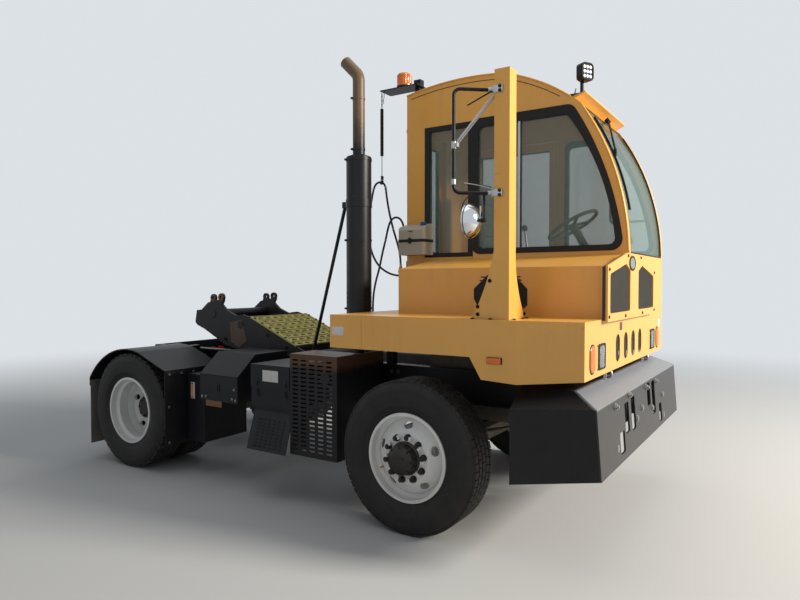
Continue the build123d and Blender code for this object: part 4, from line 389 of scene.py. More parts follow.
PLASTIC = weathered("grained_black_plastic", (0.012, 0.012, 0.013), (0.04, 0.04, 0.04), 0.55, dust=0.06,
                    sheen=0.25, low=1.0, high=3.0, chips=0.80, streaks=0.0, tone=0.2, skin=0.0008)
HOSE = weathered("hose_rubber", (0.007, 0.007, 0.008), (0.03, 0.03, 0.03), 0.42, dust=0.05, sheen=0.3,
                 low=0.8, high=2.6, chips=0.79, streaks=0.1, tone=0.2)
DARK_RED = weathered("marker_red", (0.42, 0.02, 0.015), (0.1, 0.02, 0.02), 0.3, dust=0.2, chips=0.8)
BLUE = weathered("cap_blue", (0.03, 0.10, 0.42), (0.02, 0.05, 0.2), 0.4, dust=0.1, chips=0.8)
BLANK = weathered("blank_plate_white", (0.66, 0.65, 0.62), (0.35, 0.32, 0.28), 0.45, dust=0.25, low=0.6,
                  high=1.8, chips=0.76, streaks=0.4, tone=0.15, streak_colour=(0.25, 0.2, 0.15))
RUST_PATCH = weathered("rubbed_boom_patch", (0.075, 0.032, 0.016), (0.02, 0.016, 0.014), 0.55, dust=0.2,
                       chips=0.58, streaks=0.7, tone=0.5, mottle_scale=12.0,
                       streak_colour=(0.02, 0.02, 0.02))
STEEL_EDGE = weathered("scraped_edge", (0.17, 0.15, 0.13), (0.03, 0.025, 0.02), 0.45, dust=0.2,
                       metallic=0.4, chips=0.60, streaks=0.4, tone=0.5, mottle_scale=10.0)
SEAT_BELT = weathered("belt_webbing", (0.03, 0.03, 0.032), (0.05, 0.05, 0.05), 0.8, dust=0.1,
                      skin=0.0012, chips=0.8)
VINYL = weathered("black_seat_vinyl", (0.022, 0.021, 0.021), (0.05, 0.045, 0.04), 0.42, dust=0.12,
                  low=1.0, high=3.0, chips=0.79, scratches=0.2, streaks=0.0, tone=0.25, skin=0.0010,
                  mottle_scale=6.0)
print("finishes", len(bpy.data.materials))

# %% [markdown]
# ## Glass, lamps and polished metal
# Cab glass is thin and slightly green. Full transmission through two panes and a dark cab goes black
# easily, so the panes are a mix of a clear pass-through and a gloss coat: Principled with a low alpha
# shows what is behind it and still carries reflections. Lamp lenses keep real transmission.

# %% Glass and lenses
FILM_DARK = 0.86  # how far the film of dust darkens the tone


def plain(name, colour, roughness, metallic=0.0, transmission=0.0, alpha=1.0, ior=1.5, glow=0.0):
    """A smooth finish with a light film of dust."""
    finish, tree, shader = new_finish(name)
    tones = use(tree, mottle, scale=3.0, fine=40.0)
    film = use(tree, road_dust, low=0.4, high=3.4, amount=0.10)["Mask"]
    shade = blend_colours(tree, tones["Tone"], tuple(c * FILM_DARK for c in colour), colour)
    fill(tree, shader, {"Base Color": blend_colours(tree, film, shade, DUST),
                        "Roughness": sum_of(tree, film, roughness), "Metallic": metallic,
                        "Transmission Weight": transmission, "IOR": ior, "Alpha": alpha})
    if glow:
        fill(tree, shader, {"Emission Color": rgba(colour), "Emission Strength": glow})
    return finish


GLASS = plain("green_cab_glass", (0.16, 0.27, 0.24), 0.04, alpha=0.34)
LENS = plain("clear_lamp_lens", (0.85, 0.88, 0.88), 0.06, transmission=0.9, ior=1.35)
AMBER = plain("amber_lens", (0.74, 0.175, 0.010), 0.22, transmission=0.2, glow=0.08)
RED = plain("red_lens", (0.50, 0.015, 0.012), 0.22, transmission=0.2, glow=0.03)
PALE_AMBER = plain("pale_amber_lens", (0.70, 0.22, 0.04), 0.25, transmission=0.2, glow=0.05)
CHROME = plain("polished_steel", (0.72, 0.74, 0.76), 0.07, metallic=1.0)
REFLECTOR = plain("lamp_reflector", (0.85, 0.86, 0.88), 0.18, metallic=1.0)
LED = plain("led_lens", (0.90, 0.92, 0.94), 0.25, glow=0.55)
BRASS = plain("brass_fitting", (0.50, 0.33, 0.12), 0.3, metallic=1.0)
print("lenses and metals", GLASS.name, LENS.name, CHROME.name)

# %% [markdown]
# ## Tyre rubber
# Rubber on a yard truck is black where it is scrubbed and brown-grey where dust lies. The wall has
# fine rings round the rim, so the bump follows the distance from the axle, which is worked out
# from Object coordinates and the wheel's own centre height.

# %% Tyre rubber
RINGS_PER_METRE = 760.0


def tyre_rubber(name, axle_x):
    """Rubber with rings about one axle."""
    finish, tree, shader = new_finish(name)
    shift = make(tree, "ShaderNodeMapping",
                 {"Location": (-axle_x, 0, -WHEEL_Z), "Vector": object_place(tree)})
    flat = make(tree, "ShaderNodeVectorMath", {1: (1, 0, 1), 0: shift.outputs[0]}, operation="MULTIPLY")
    radius = make(tree, "ShaderNodeVectorMath", {0: flat.outputs[0]}, operation="LENGTH").outputs["Value"]
    rings = sum_of(tree, times(tree, radius, RINGS_PER_METRE), 0.0, "SINE")
    on_wall = between(tree, radius, 0.47, 0.455)
    tones = use(tree, mottle, scale=7.0, fine=260.0)
    low_dust = use(tree, road_dust, low=-0.3, high=1.5, amount=0.55, scale=9.0)["Mask"]
    worn = times(tree, between(tree, radius, 0.46, 0.512), 0.45)
    dusty = between(tree, sum_of(tree, low_dust, times(tree, worn, tones["Tone"])), 0.0, 1.0, 0.0, 0.45)
    colour = blend_colours(tree, tones["Tone"], (0.007, 0.007, 0.008), (0.014, 0.014, 0.015))
    relief = sum_of(tree, times(tree, rings, on_wall), times(tree, tones["Skin"], 0.5))
    bump = make(tree, "ShaderNodeBump", {"Distance": 0.0010, "Strength": 0.6, "Height": relief})
    fill(tree, shader, {"Base Color": blend_colours(tree, dusty, colour, (0.095, 0.082, 0.068)),
                        "Roughness": between(tree, dusty, 0, 1, 0.62, 0.9),
                        "Specular IOR Level": 0.25, "Normal": bump.outputs[0]})
    return finish


FRONT_RUBBER = tyre_rubber("front_tyre_rubber", FRONT_AXLE)
REAR_RUBBER = tyre_rubber("rear_tyre_rubber", REAR_AXLE)
print("rubber", FRONT_RUBBER.name, REAR_RUBBER.name)

# %% [markdown]
# ## Dressing the CAD nodes
# Nodes whose shape is already right keep it and only get a finish. The mesh of a CAD node is never
# touched. Nodes that need finer shapes are replaced further down.

# %% Finish of each node
dress = {
    YELLOW: ["body_deck", "hood", "grille_panel", "cab_right_wall", "cab_left_wall", "cab_rear_wall",
             "rear_door", "cab_roof", "cab_floor", "cab_door", "mirror_post"],
    BLACK: ["chassis_frame", "roof_lamps", "mirror_frames", "rear_fenders", "battery_box",
            "battery_lid", "toolbox", "hydraulic_tank", "left_steps", "fuel_tank", "air_fittings"],
    AXLE: ["front_axle", "knuckle_left", "knuckle_right", "tie_rod", "rear_axle", "lift_barrels"],
    GUARD: ["guard_box"], BUMPER: ["front_bumper"], BOOM: ["boom"], ENGINE: ["engine_block"],
    STACK: ["exhaust_stack"],
    WHEEL: ["front_rim_left", "front_rim_right", "rear_rims_left", "rear_rims_right"],
    FRONT_RUBBER: ["front_tyre_left", "front_tyre_right"],
    REAR_RUBBER: ["rear_tyres_left", "rear_tyres_right"],
    GLASS: ["cab_glass", "door_glass", "rear_door_glass"],
    SEAL: ["window_seals", "wiper"], PLASTIC: ["dash", "steering_wheel", "seat_cushions", "grille_mesh"],
    LENS: ["headlamps"], AMBER: ["amber_lamps"], RED: ["tail_lamps"],
    CHROME: ["mirror_heads", "lift_rods"],
    TANK: ["coolant_tank"], FLAP: ["mud_flaps"], GRATING: ["boom_deck"],
    HOSE: ["air_hose_long", "air_hose_short"],
}
for finish, names in dress.items():
    for node_name in names:
        data = nodes[node_name].data
        data.materials.clear()
        data.materials.append(finish)
print("nodes without a finish", sorted(set(nodes).difference(*dress.values())))

# %% [markdown]
# ## Hoses
# Two rubber air lines hang in a tall loop behind the cab, tied to a spring on the lamp plate so that
# they swing clear of the frame when a trailer turns. They could be simulated, but a hanging hose
# that has kept its place for years is drawn better from listed points. Each line is a smooth NURBS spline over
# the same points as its solid.

# %% Hoses
HOSE_WIDTH = 0.018
LONG_LINE = [
    (0.375, -0.036, 1.800), (0.375, -0.036, 1.900), (0.350, -0.044, 2.010), (0.310, -0.056, 2.140),
    (0.272, -0.062, 2.290), (0.245, -0.060, 2.425), (0.230, -0.054, 2.511), (0.207, -0.051, 2.551),
    (0.165, -0.050, 2.566), (0.123, -0.050, 2.551), (0.100, -0.052, 2.511), (0.082, -0.055, 2.425),
    (0.058, -0.060, 2.280), (0.052, -0.064, 2.130), (0.072, -0.068, 1.990), (0.118, -0.068, 1.880),
    (0.185, -0.062, 1.800), (0.270, -0.044, 1.750), (0.345, -0.030, 1.735), (0.405, -0.030, 1.735),
]
SHORT_LINE = [
    (0.405, -0.030, 2.100), (0.405, -0.030, 2.150), (0.388, -0.030, 2.205), (0.350, -0.030, 2.243),
    (0.298, -0.031, 2.245), (0.260, -0.032, 2.208), (0.240, -0.033, 2.152), (0.215, -0.034, 2.050),
    (0.180, -0.035, 1.932), (0.150, -0.036, 1.800), (0.112, -0.038, 1.690), (0.088, -0.042, 1.570),
    (0.084, -0.047, 1.430), (0.098, -0.053, 1.290), (0.120, -0.058, 1.170), (0.130, -0.060, 1.080),
    (0.130, -0.060, 1.000),
]


def hung_hose(name, points, node_name):
    """A hose on one smooth spline, in place of its plain solid."""
    line = bpy.data.curves.new(name, "CURVE")
    line.dimensions = "3D"
    spline = line.splines.new("NURBS")
    spline.points.add(len(points) - 1)
    for knot, point in zip(spline.points, points):
        knot.co = (*point, 1)
    spline.order_u = 3
    spline.use_endpoint_u = True
    spline.resolution_u = 10
    line.bevel_depth = HOSE_WIDTH / 2
    line.bevel_resolution = 4
    line.use_fill_caps = True
    line.materials.append(HOSE)
    hose = set_out(name, line)
    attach(hose, "chassis")
    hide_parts(node_name)
    print(name, "points", len(points))


hung_hose("supply_hose", LONG_LINE, "air_hose_long")
hung_hose("service_hose", SHORT_LINE, "air_hose_short")

# %% [markdown]
# ## Working shapes by hand
# Most fittings are small turned, bent or cut shapes. Primitives with modifiers would leave hundreds
# of objects, so a blank collects shapes in one mesh: boxes with eased edges, round bars, turned
# profiles, cut plates and skins over rings of points. A finished blank has flat faces where edges
# are sharp and smooth ones elsewhere, and rides on one body.

# %% Skin over rings


def skin(rings, closed=False):
    """A closed surface over rings of points with equal counts. A ring of one point is a tip."""
    fresh = bmesh.new()
    made = [[fresh.verts.new(p) for p in ring] for ring in rings]
    for ring, other in list(zip(made, made[1:])) + ([(made[-1], made[0])] if closed else []):
        count = max(len(ring), len(other))
        for i in range(count):
            j = (i + 1) % count
            corners = (ring[i % len(ring)], ring[j % len(ring)], other[j % len(other)], other[i % len(other)])
            fresh.faces.new(list(dict.fromkeys(corners)))
    for ring in () if closed else (made[0], made[-1]):
        if len(ring) > 1:
            fresh.faces.new(ring)
    bmesh.ops.recalc_face_normals(fresh, faces=fresh.faces)
    return fresh


def circle(radius, sides):
    """Points round a circle, as (cosine, sine) times the radius."""
    return [(radius * math.cos(2 * math.pi * i / sides), radius * math.sin(2 * math.pi * i / sides))
            for i in range(sides)]


def eased_cube(low, high, ease, segments=2, profile=0.6):
    """A box between two corners, with its edges eased."""
    fresh = bmesh.new()
    bmesh.ops.create_cube(fresh, size=1)
    size = [abs(b - a) for a, b in zip(low, high)]
    middle = [(a + b) / 2 for a, b in zip(low, high)]
    bmesh.ops.transform(fresh, matrix=Matrix.Translation(middle) @ Matrix.Diagonal((*size, 1)),
                        verts=fresh.verts)
    if ease:
        bmesh.ops.bevel(fresh, geom=list(fresh.edges), offset=min(ease, min(size) * 0.45),
                        segments=segments, affect="EDGES", profile=profile)
    return fresh


# %% Blank


class Blank:
    """A piece of work that shapes are added to, one call after another."""

    def __init__(self):
        self.work = bmesh.new()

    def take(self, fresh, placing=None):
        """Adds another small mesh, after placing it."""
        if placing is not None:
            bmesh.ops.transform(fresh, matrix=placing, verts=fresh.verts)
        carrier = bpy.data.meshes.new("carrier")
        fresh.to_mesh(carrier)
        fresh.free()
        self.work.from_mesh(carrier)
        bpy.data.meshes.remove(carrier)
        return self

    def box(self, low, high, ease=0.0, placing=None):
        """A box between two corners, with its edges eased."""
        return self.take(eased_cube(low, high, ease), placing)

    def turned(self, start, along, profile, sides=32, closed=False):
        """A profile of (distance, radius) pairs turned about a line."""
        to_line = Matrix.Translation(start) @ Vector(along).to_track_quat("Z", "Y").to_matrix().to_4x4()
        rings = [[(x, y, distance) for x, y in (circle(radius, sides) if radius >= 1e-6 else [(0, 0)])]
                 for distance, radius in profile]
        return self.take(skin(rings, closed), to_line)

    def bar(self, start, end, radius, sides=16, ease=0.0):
        """A round bar between two points."""
        length = (Vector(end) - Vector(start)).length
        ease = min(ease, radius * 0.6, length * 0.4)
        profile = [(0, radius), (length, radius)]
        if ease:
            profile = [(0, radius - ease), (ease, radius), (length - ease, radius), (length, radius - ease)]
        return self.turned(start, Vector(end) - Vector(start), profile, sides)

    def plate(self, outline, thick):
        """A flat plate over an outline of points, with a thickness vector."""
        return self.loft([outline, [Vector(p) + Vector(thick) for p in outline]])

    def loft(self, rings):
        """A skin over rings of points, closed by a face at both ends."""
        return self.take(skin(rings))

    def shell(self, rings):
        """A skin over rings of (x, [(y, z)...])."""
        return self.loft([[(x, y, z) for y, z in ring] for x, ring in rings])

    def done(self, name, finish, body="chassis", smooth=38):
        """Turns the blank into a piece that rides on a body."""
        for edge in self.work.edges:
            if len(edge.link_faces) == 2:
                edge.smooth = edge.calc_face_angle(0) < math.radians(smooth)
        for face in self.work.faces:
            face.smooth = True
        mesh = bpy.data.meshes.new(name)
        self.work.to_mesh(mesh)
        self.work.free()
        mesh.materials.append(finish)
        piece = set_out(name, mesh)
        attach(piece, body)
        print(name, "faces", len(mesh.polygons), "on", body)
        return piece


# %% [markdown]
# ## Shapes that repeat
# Nuts, rivets, tread lugs, teeth and mesh wires repeat by the dozen. Each kind is one Geometry Nodes
# tree with named sizes: the tree makes one shape from primitives and sets it on every point of a
# small point mesh, turned by two arrows that each point carries. The tree realizes the instances,
# and the result is kept as a plain mesh, because the export drops live instances.

# %% Trees for repeats


def open_tree(name, sizes):
    """An empty tree with a Geometry, named number sizes and a Finish going in."""
    tree = bpy.data.node_groups.new(name, "GeometryNodeTree")
    face = tree.interface
    face.new_socket("Geometry", in_out="INPUT", socket_type="NodeSocketGeometry")
    for label, value in sizes.items():
        face.new_socket(label, in_out="INPUT", socket_type="NodeSocketFloat").default_value = value
    face.new_socket("Finish", in_out="INPUT", socket_type="NodeSocketMaterial")
    face.new_socket("Geometry", in_out="OUTPUT", socket_type="NodeSocketGeometry")
    return tree, make(tree, "NodeGroupInput").outputs


def close_tree(tree, entry, geometry):
    """Makes the instances real, gives them the finish and sends them out."""
    solid = make(tree, "GeometryNodeRealizeInstances", {"Geometry": geometry}).outputs["Geometry"]
    coat = make(tree, "GeometryNodeSetMaterial", {"Geometry": solid, "Material": entry["Finish"]})
    make(tree, "NodeGroupOutput", {"Geometry": coat.outputs["Geometry"]})
    return tree


def repeat_tree(name, sizes, shape):
    """A tree that sets one shape on every point, its Z along 'out' and its X along 'run'."""
    tree, entry = open_tree(name, sizes)
    turn = None
    for arrow, axis in (("out", "Z"), ("run", "X")):
        read = make(tree, "GeometryNodeInputNamedAttribute", data_type="FLOAT_VECTOR")
        read.inputs["Name"].default_value = arrow
        align = make(tree, "FunctionNodeAlignRotationToVector", {"Vector": read.outputs["Attribute"]},
                     axis=axis)
        if turn is not None:
            align.pivot_axis = "Z"
            put(tree, turn, align.inputs["Rotation"])
        turn = align.outputs["Rotation"]
    set_on = make(tree, "GeometryNodeInstanceOnPoints",
                  {"Points": entry["Geometry"], "Instance": shape(tree, entry), "Rotation": turn})
    return close_tree(tree, entry, set_on.outputs["Instances"])


def grown(piece, name):
    """Keeps what a piece's modifiers make as its own plain mesh, without the modifiers."""
    before = piece.data
    mesh = bpy.data.meshes.new_from_object(piece.evaluated_get(bpy.context.evaluated_depsgraph_get()))
    piece.modifiers.clear()
    piece.data = mesh
    bpy.data.meshes.remove(before)
    mesh.name = name
    return mesh


def grow(name, mesh, tree, finish, body, sizes):
    """A piece that a tree grows from a bare mesh, kept as a plain mesh on a body."""
    piece = set_out(name, mesh)
    modifier = piece.modifiers.new("grow", "NODES")
    modifier.node_group = tree
    given = {**sizes, "finish": finish}
    for socket in tree.interface.items_tree:
        if socket.in_out == "INPUT" and socket.name.lower() in given:
            modifier[socket.identifier] = given[socket.name.lower()]
    mesh = grown(piece, name)
    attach(piece, body)
    print(name, "faces", len(mesh.polygons), "on", body)
    return mesh


def repeated(name, tree, spots, finish, body="chassis", **sizes):
    """One plain mesh of a tree's shape on (place, out, run) spots."""
    mesh = bpy.data.meshes.new(name + "_spots")
    mesh.from_pydata([tuple(spot[0]) for spot in spots], [], [])
    for index, arrow in ((1, "out"), (2, "run")):
        arrows = mesh.attributes.new(arrow, "FLOAT_VECTOR", "POINT")
        arrows.data.foreach_set("vector", [c for spot in spots for c in spot[index]])
    grow(name, mesh, tree, finish, body, sizes)


def drum(tree, sides, radius, height, shift):
    """A cylinder inside a tree, moved along its axis."""
    fresh = make(tree, "GeometryNodeMeshCylinder", {"Vertices": sides, "Radius": radius, "Depth": height})
    lift = make(tree, "ShaderNodeCombineXYZ", {"Z": shift})
    move = make(tree, "GeometryNodeTransform",
                {"Geometry": fresh.outputs["Mesh"], "Translation": lift.outputs[0]})
    return move.outputs["Geometry"]


def extent(tree, size):
    """A tree's Long, Wide and Deep as one vector."""
    sizes = {"X": size["Long"], "Y": size["Wide"], "Z": size["Deep"]}
    return make(tree, "ShaderNodeCombineXYZ", sizes).outputs[0]


def joined(tree, *parts):
    """Several geometries as one."""
    join = make(tree, "GeometryNodeJoinGeometry")
    for part in reversed(parts):
        tree.links.new(part, join.inputs[0])
    return join.outputs[0]


# %% Nut, washer and stud
WASHER_REACH, HEAD_REACH, STUD_REACH = 0.68, 0.56, 0.30  # radii as parts of the width across flats
WASHER_HEIGHT = 0.3


def nut_shape(tree, size):
    height, across = size["Height"], size["Across"]
    thin = times(tree, height, WASHER_HEIGHT)
    tall = sum_of(tree, height, size["Stud"])
    return joined(tree, *(drum(tree, sides, times(tree, across, reach), deep, times(tree, deep, 0.5))
                          for sides, reach, deep in ((16, WASHER_REACH, thin), (6, HEAD_REACH, height),
                                                     (10, STUD_REACH, tall))))


NUTS = repeat_tree("hex_nuts", {"Across": 0.02, "Height": 0.008, "Stud": 0.0}, nut_shape)


def ring_spots(centre, axis, radius, count):
    """Spots round a circle, all facing along its axis."""
    axis = Vector(axis).normalized()
    side = axis.orthogonal().normalized()
    up = axis.cross(side)
    spots = []
    for i in range(count):
        angle = 2 * math.pi * i / count
        arm = side * math.cos(angle) + up * math.sin(angle)
        spots.append((Vector(centre) + arm * radius, axis, arm))
    return spots


def bolts(name, places, out, run, finish, across, height, stud=0.0, body="chassis"):
    """Nuts that all face one way."""
    repeated(name, NUTS, [(place, out, run) for place in places], finish, body,
             across=across, height=height, stud=stud)


print("repeat trees", NUTS.name)

# %% [markdown]
# ## Tyres
# The solids are plain rings. The real steering tyres have straight ribs cut by fine sipes, and the
# drive tyres have blocks. A bump map would stay smooth at the outline, so the carcass is turned from
# a real tyre section, and Geometry Nodes set a ring of tapered lugs on it for each rib. The lug's
# corners, not its middle, reach the tyre's radius.

# %% Tyre carcass and lugs
LUG_TOP, LUG_FOOT = 0.655, 0.707  # half diagonals of a four-sided cone one metre across
LUG_RADIUS, TREAD_RADIUS, LUG_DEPTH = 0.5003, 0.5143, 0.0138


def lug_shape(tree, size):
    block = make(tree, "GeometryNodeMeshCone",
                 {"Vertices": 4, "Radius Top": LUG_TOP, "Radius Bottom": LUG_FOOT, "Depth": 1.0})
    square = make(tree, "GeometryNodeTransform",
                  {"Rotation": (0, 0, math.radians(45)), "Geometry": block.outputs["Mesh"]})
    stretch = make(tree, "GeometryNodeTransform",
                   {"Geometry": square.outputs["Geometry"], "Scale": extent(tree, size)})
    return stretch.outputs["Geometry"]


LUGS = repeat_tree("tread_lugs", {"Long": 0.05, "Wide": 0.04, "Deep": 0.014}, lug_shape)
HALF_SECTION = [
    (0.104, 0.2865), (0.1055, 0.301), (0.112, 0.312), (0.121, 0.330), (0.1285, 0.345), (0.1315, 0.3475),
    (0.1320, 0.352), (0.1365, 0.372), (0.1395, 0.400), (0.1390, 0.424), (0.1355, 0.446), (0.1362, 0.449),
    (0.1350, 0.452), (0.1300, 0.470), (0.1235, 0.487), (0.1140, 0.499), (0.1040, 0.5025),
]
SECTION = HALF_SECTION + [(-u, r) for u, r in reversed(HALF_SECTION)]


def tyre(name, axle_x, centres, side, rubber, body, ribs, lugs_round):
    """A carcass for each wheel of a body, and its ribs of lugs."""
    blank = Blank()
    for centre in centres:
        blank.turned((axle_x, side * centre, WHEEL_Z), Y_WAY, SECTION, sides=96, closed=True)
    carcass = blank.done(name + "_dressed_carcass", rubber, body, smooth=50)
    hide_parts(name)
    pitch = 2 * math.pi * TREAD_RADIUS / lugs_round
    for rib, (offset, width, stagger, gap) in enumerate(ribs):
        spots = []
        for centre in centres:
            for i in range(lugs_round):
                angle = 2 * math.pi * (i + stagger) / lugs_round
                arm = Vector((math.cos(angle), 0, math.sin(angle)))
                place = Vector((axle_x, side * centre + offset, WHEEL_Z)) + arm * LUG_RADIUS
                spots.append((place, arm, (-arm.z, 0, arm.x)))
        repeated(f"{name}_dressed_rib_{rib}", LUGS, spots, rubber, body, long=pitch - gap, wide=width,
                 deep=LUG_DEPTH)


# each rib: offset from the middle, width, stagger in lugs, gap between lugs
STEER_RIBS = [(0, 0.040, 0, 0.002), (0.049, 0.038, 0.5, 0.002), (-0.049, 0.038, 0.5, 0.002),
              (0.0965, 0.037, 0.25, 0.003), (-0.0965, 0.037, 0.25, 0.003)]
DRIVE_RIBS = [(0.027, 0.046, 0, 0.012), (-0.027, 0.046, 0.5, 0.012),
              (0.086, 0.054, 0.3, 0.014), (-0.086, 0.054, 0.8, 0.014)]
for side, tag in SIDES:
    tyre("front_tyre_" + tag, FRONT_AXLE, (FRONT_WHEEL_Y,), side, FRONT_RUBBER, "front_wheel_" + tag,
         STEER_RIBS, 64)
    tyre("rear_tyres_" + tag, REAR_AXLE, (INNER_WHEEL_Y, OUTER_WHEEL_Y), side, REAR_RUBBER,
         "rear_wheels_" + tag, DRIVE_RIBS, 44)

# %% [markdown]
# ## Hubs and wheel nuts
# The wheels are white, but their nuts are bare and dark and the front hub carries an oiled brown cap
# with its own ring of small bolts. These are turned covers and nuts that sit over the plain ones of
# the solid. A valve stands in one hand hole of each wheel.

# %% Hubs
FRONT_CAP = [(0.1185, 0.080), (0.1185, 0.112), (0.128, 0.112), (0.134, 0.101), (0.178, 0.0985),
             (0.1895, 0.0945), (0.1930, 0.088), (0.1955, 0.080), (0.2040, 0.066), (0.2100, 0.040),
             (0.2115, 0.020), (0.2120, 0.0)]
REAR_CAP = [(0.013, 0.120), (0.026, 0.118), (0.030, 0.096), (0.112, 0.082), (0.118, 0.094),
            (0.126, 0.094), (0.132, 0.066), (0.1375, 0.060), (0.1380, 0.0)]
NUT_CIRCLE = 0.143
WHEEL_NUT = dict(across=0.0345, height=0.0315)


def wheel_fittings(tag, side):
    """Cap, nuts and valve of one front and one rear wheel."""
    out = (0, side, 0)
    front, rear = "front_wheel_" + tag, "rear_wheels_" + tag

    def ring(name, body, centre, push, radius, count, **sizes):
        """Nuts round a wheel's axis, pushed outward from its mounting face."""
        spots = ring_spots((centre[0], centre[1] + side * push, WHEEL_Z), out, radius, count)
        repeated(name + "_" + tag, NUTS, spots, HUB, body, **sizes)

    hub = (FRONT_AXLE, side * FRONT_WHEEL_Y, WHEEL_Z)
    plug_x, plug_z = ahead(0.03), WHEEL_Z + 0.02
    plug_low, plug_high = (side * (FRONT_WHEEL_Y + reach) for reach in (0.206, 0.213))
    cap = Blank().turned(hub, out, FRONT_CAP, sides=48)
    cap.bar((plug_x, plug_low, plug_z), (plug_x, plug_high, plug_z), 0.011, sides=6)
    cap.done("front_hub_cap_" + tag, HUB, front)
    ring("front_cap_bolts", front, hub, 0.1925, 0.086, 8, across=0.013, height=0.006)
    ring("front_wheel_nuts", front, hub, 0.1165, NUT_CIRCLE, 10, stud=0.006, **WHEEL_NUT)
    mount = (REAR_AXLE, side * (OUTER_WHEEL_Y + INNER_WHEEL_Y) / 2, WHEEL_Z)
    Blank().turned(mount, out, REAR_CAP, sides=48).done("rear_hub_" + tag, HUB, rear)
    ring("axle_shaft_nuts", rear, mount, 0.1255, 0.080, 8, across=0.017, height=0.009, stud=0.004)
    ring("rear_wheel_nuts", rear, mount, 0.0135, NUT_CIRCLE, 10, stud=0.010, **WHEEL_NUT)
    for name, body, axle, y, reach, turn in (
            ("front", front, FRONT_AXLE, FRONT_WHEEL_Y + 0.085, 0.232, 205),
            ("rear", rear, REAR_AXLE, OUTER_WHEEL_Y + 0.02, 0.246, 35)):
        arm = Vector((math.cos(math.radians(turn)), 0, math.sin(math.radians(turn))))
        foot = Vector((axle, side * y, WHEEL_Z)) + arm * reach
        root, neck, tip = (foot + Vector((0, side * push, 0)) for push in (-0.02, 0.014, 0.026))
        stem = Blank().bar(root, neck, 0.005, 10).bar(neck, tip, 0.0065, 10, 0.002)
        stem.done(name + "_valve_" + tag, BRASS, body)


for side, tag in SIDES:
    wheel_fittings(tag, side)

# %% [markdown]
# ## Bent rods, wires and woven mesh
# Mirror stays, hooks, rails and the wires of the grille are all round stock along a line. Curves with
# a bevel would do, but a curve is one object for each line. One Geometry Nodes tree takes a mesh of
# bare edges, turns its chains into curves, sweeps a round section along them, and caps the ends.

# %% Tree for round stock
WIRES, entry = open_tree("round_stock", {"Radius": 0.005, "Sides": 8.0})
chains = make(WIRES, "GeometryNodeMeshToCurve", {"Mesh": entry["Geometry"]}).outputs["Curve"]
section = make(WIRES, "GeometryNodeCurvePrimitiveCircle",
               {"Radius": entry["Radius"], "Resolution": entry["Sides"]})
swept = make(WIRES, "GeometryNodeCurveToMesh",
             {"Fill Caps": True, "Curve": chains, "Profile Curve": section.outputs["Curve"]})
close_tree(WIRES, entry, swept.outputs["Mesh"])


def wires(name, lines, radius, finish, body="chassis", sides=8):
    """Round stock along each line of points, as one plain mesh."""
    edges, start = [], 0
    for line in lines:
        edges += [(start + i, start + i + 1) for i in range(len(line) - 1)]
        start += len(line)
    mesh = bpy.data.meshes.new(name + "_lines")
    mesh.from_pydata([tuple(p) for line in lines for p in line], edges, [])
    mesh = grow(name, mesh, WIRES, finish, body, {"radius": radius, "sides": float(sides)})
    for face in mesh.polygons:
        face.use_smooth = len(face.vertices) == 4


def rounded(corners, radius, steps=5):
    """A chain of points with each inner corner of a line rounded."""
    corners = [Vector(c) for c in corners]
    chain = [corners[0]]
    for before, corner, after in zip(corners, corners[1:], corners[2:]):
        back, on = (before - corner), (after - corner)
        reach = min(radius, back.length * 0.49, on.length * 0.49)
        first, last = corner + back.normalized() * reach, corner + on.normalized() * reach
        for i in range(steps + 1):
            t = i / steps
            chain.append(first.lerp(corner, t).lerp(corner.lerp(last, t), t))
    chain.append(corners[-1])
    return chain


def arc_through(a, b, c, steps=16):
    """Points on the circle through three (x, z) points."""
    (ax, az), (bx, bz), (cx, cz) = a, b, c
    far_a, far_b, far_c = ax * ax + az * az, bx * bx + bz * bz, cx * cx + cz * cz
    d = 2 * (ax * (bz - cz) + bx * (cz - az) + cx * (az - bz))
    ux = (far_a * (bz - cz) + far_b * (cz - az) + far_c * (az - bz)) / d
    uz = (far_a * (cx - bx) + far_b * (ax - cx) + far_c * (bx - ax)) / d
    radius = math.hypot(ax - ux, az - uz)
    first, last = math.atan2(az - uz, ax - ux), math.atan2(cz - uz, cx - ux)
    return [(ux + radius * math.cos(first + (last - first) * i / steps),
             uz + radius * math.sin(first + (last - first) * i / steps)) for i in range(steps + 1)]


def soft_box_outline(centre_y, centre_z, width, height, corner, steps=5):
    """A rounded rectangle as (y, z) points."""
    points = []
    for quarter, (sy, sz) in enumerate(((1, 1), (-1, 1), (-1, -1), (1, -1))):
        for i in range(steps + 1):
            angle = math.pi / 2 * (quarter + i / steps)
            points.append((centre_y + sy * (width / 2 - corner) + corner * math.cos(angle),
                           centre_z + sz * (height / 2 - corner) + corner * math.sin(angle)))
    return points


print("round stock tree", WIRES.name)

# %% [markdown]
# ## Lamps of the front face
# Each rectangular headlamp is a black frame round a bright bowl with a bulb, under a clear lens with
# eased edges. A flat white slab would look like paint, so the bowl is a real hollow. The amber
# turn lamps are ribbed slots, and the amber side markers are small ribbed bars.

# %% Headlamps
FACE_X = ahead(1.155)
DECK_REAR = ahead(-0.660)
HEADLAMP_Y, LAMP_Z = 0.743, 1.220


def lamp_rings(y, steps):
    """Soft boxes of (depth, width, height, corner) about a headlamp's middle."""
    return [(FACE_X + x, soft_box_outline(y, LAMP_Z, w, h, min(c, w / 2))) for x, w, h, c in steps]


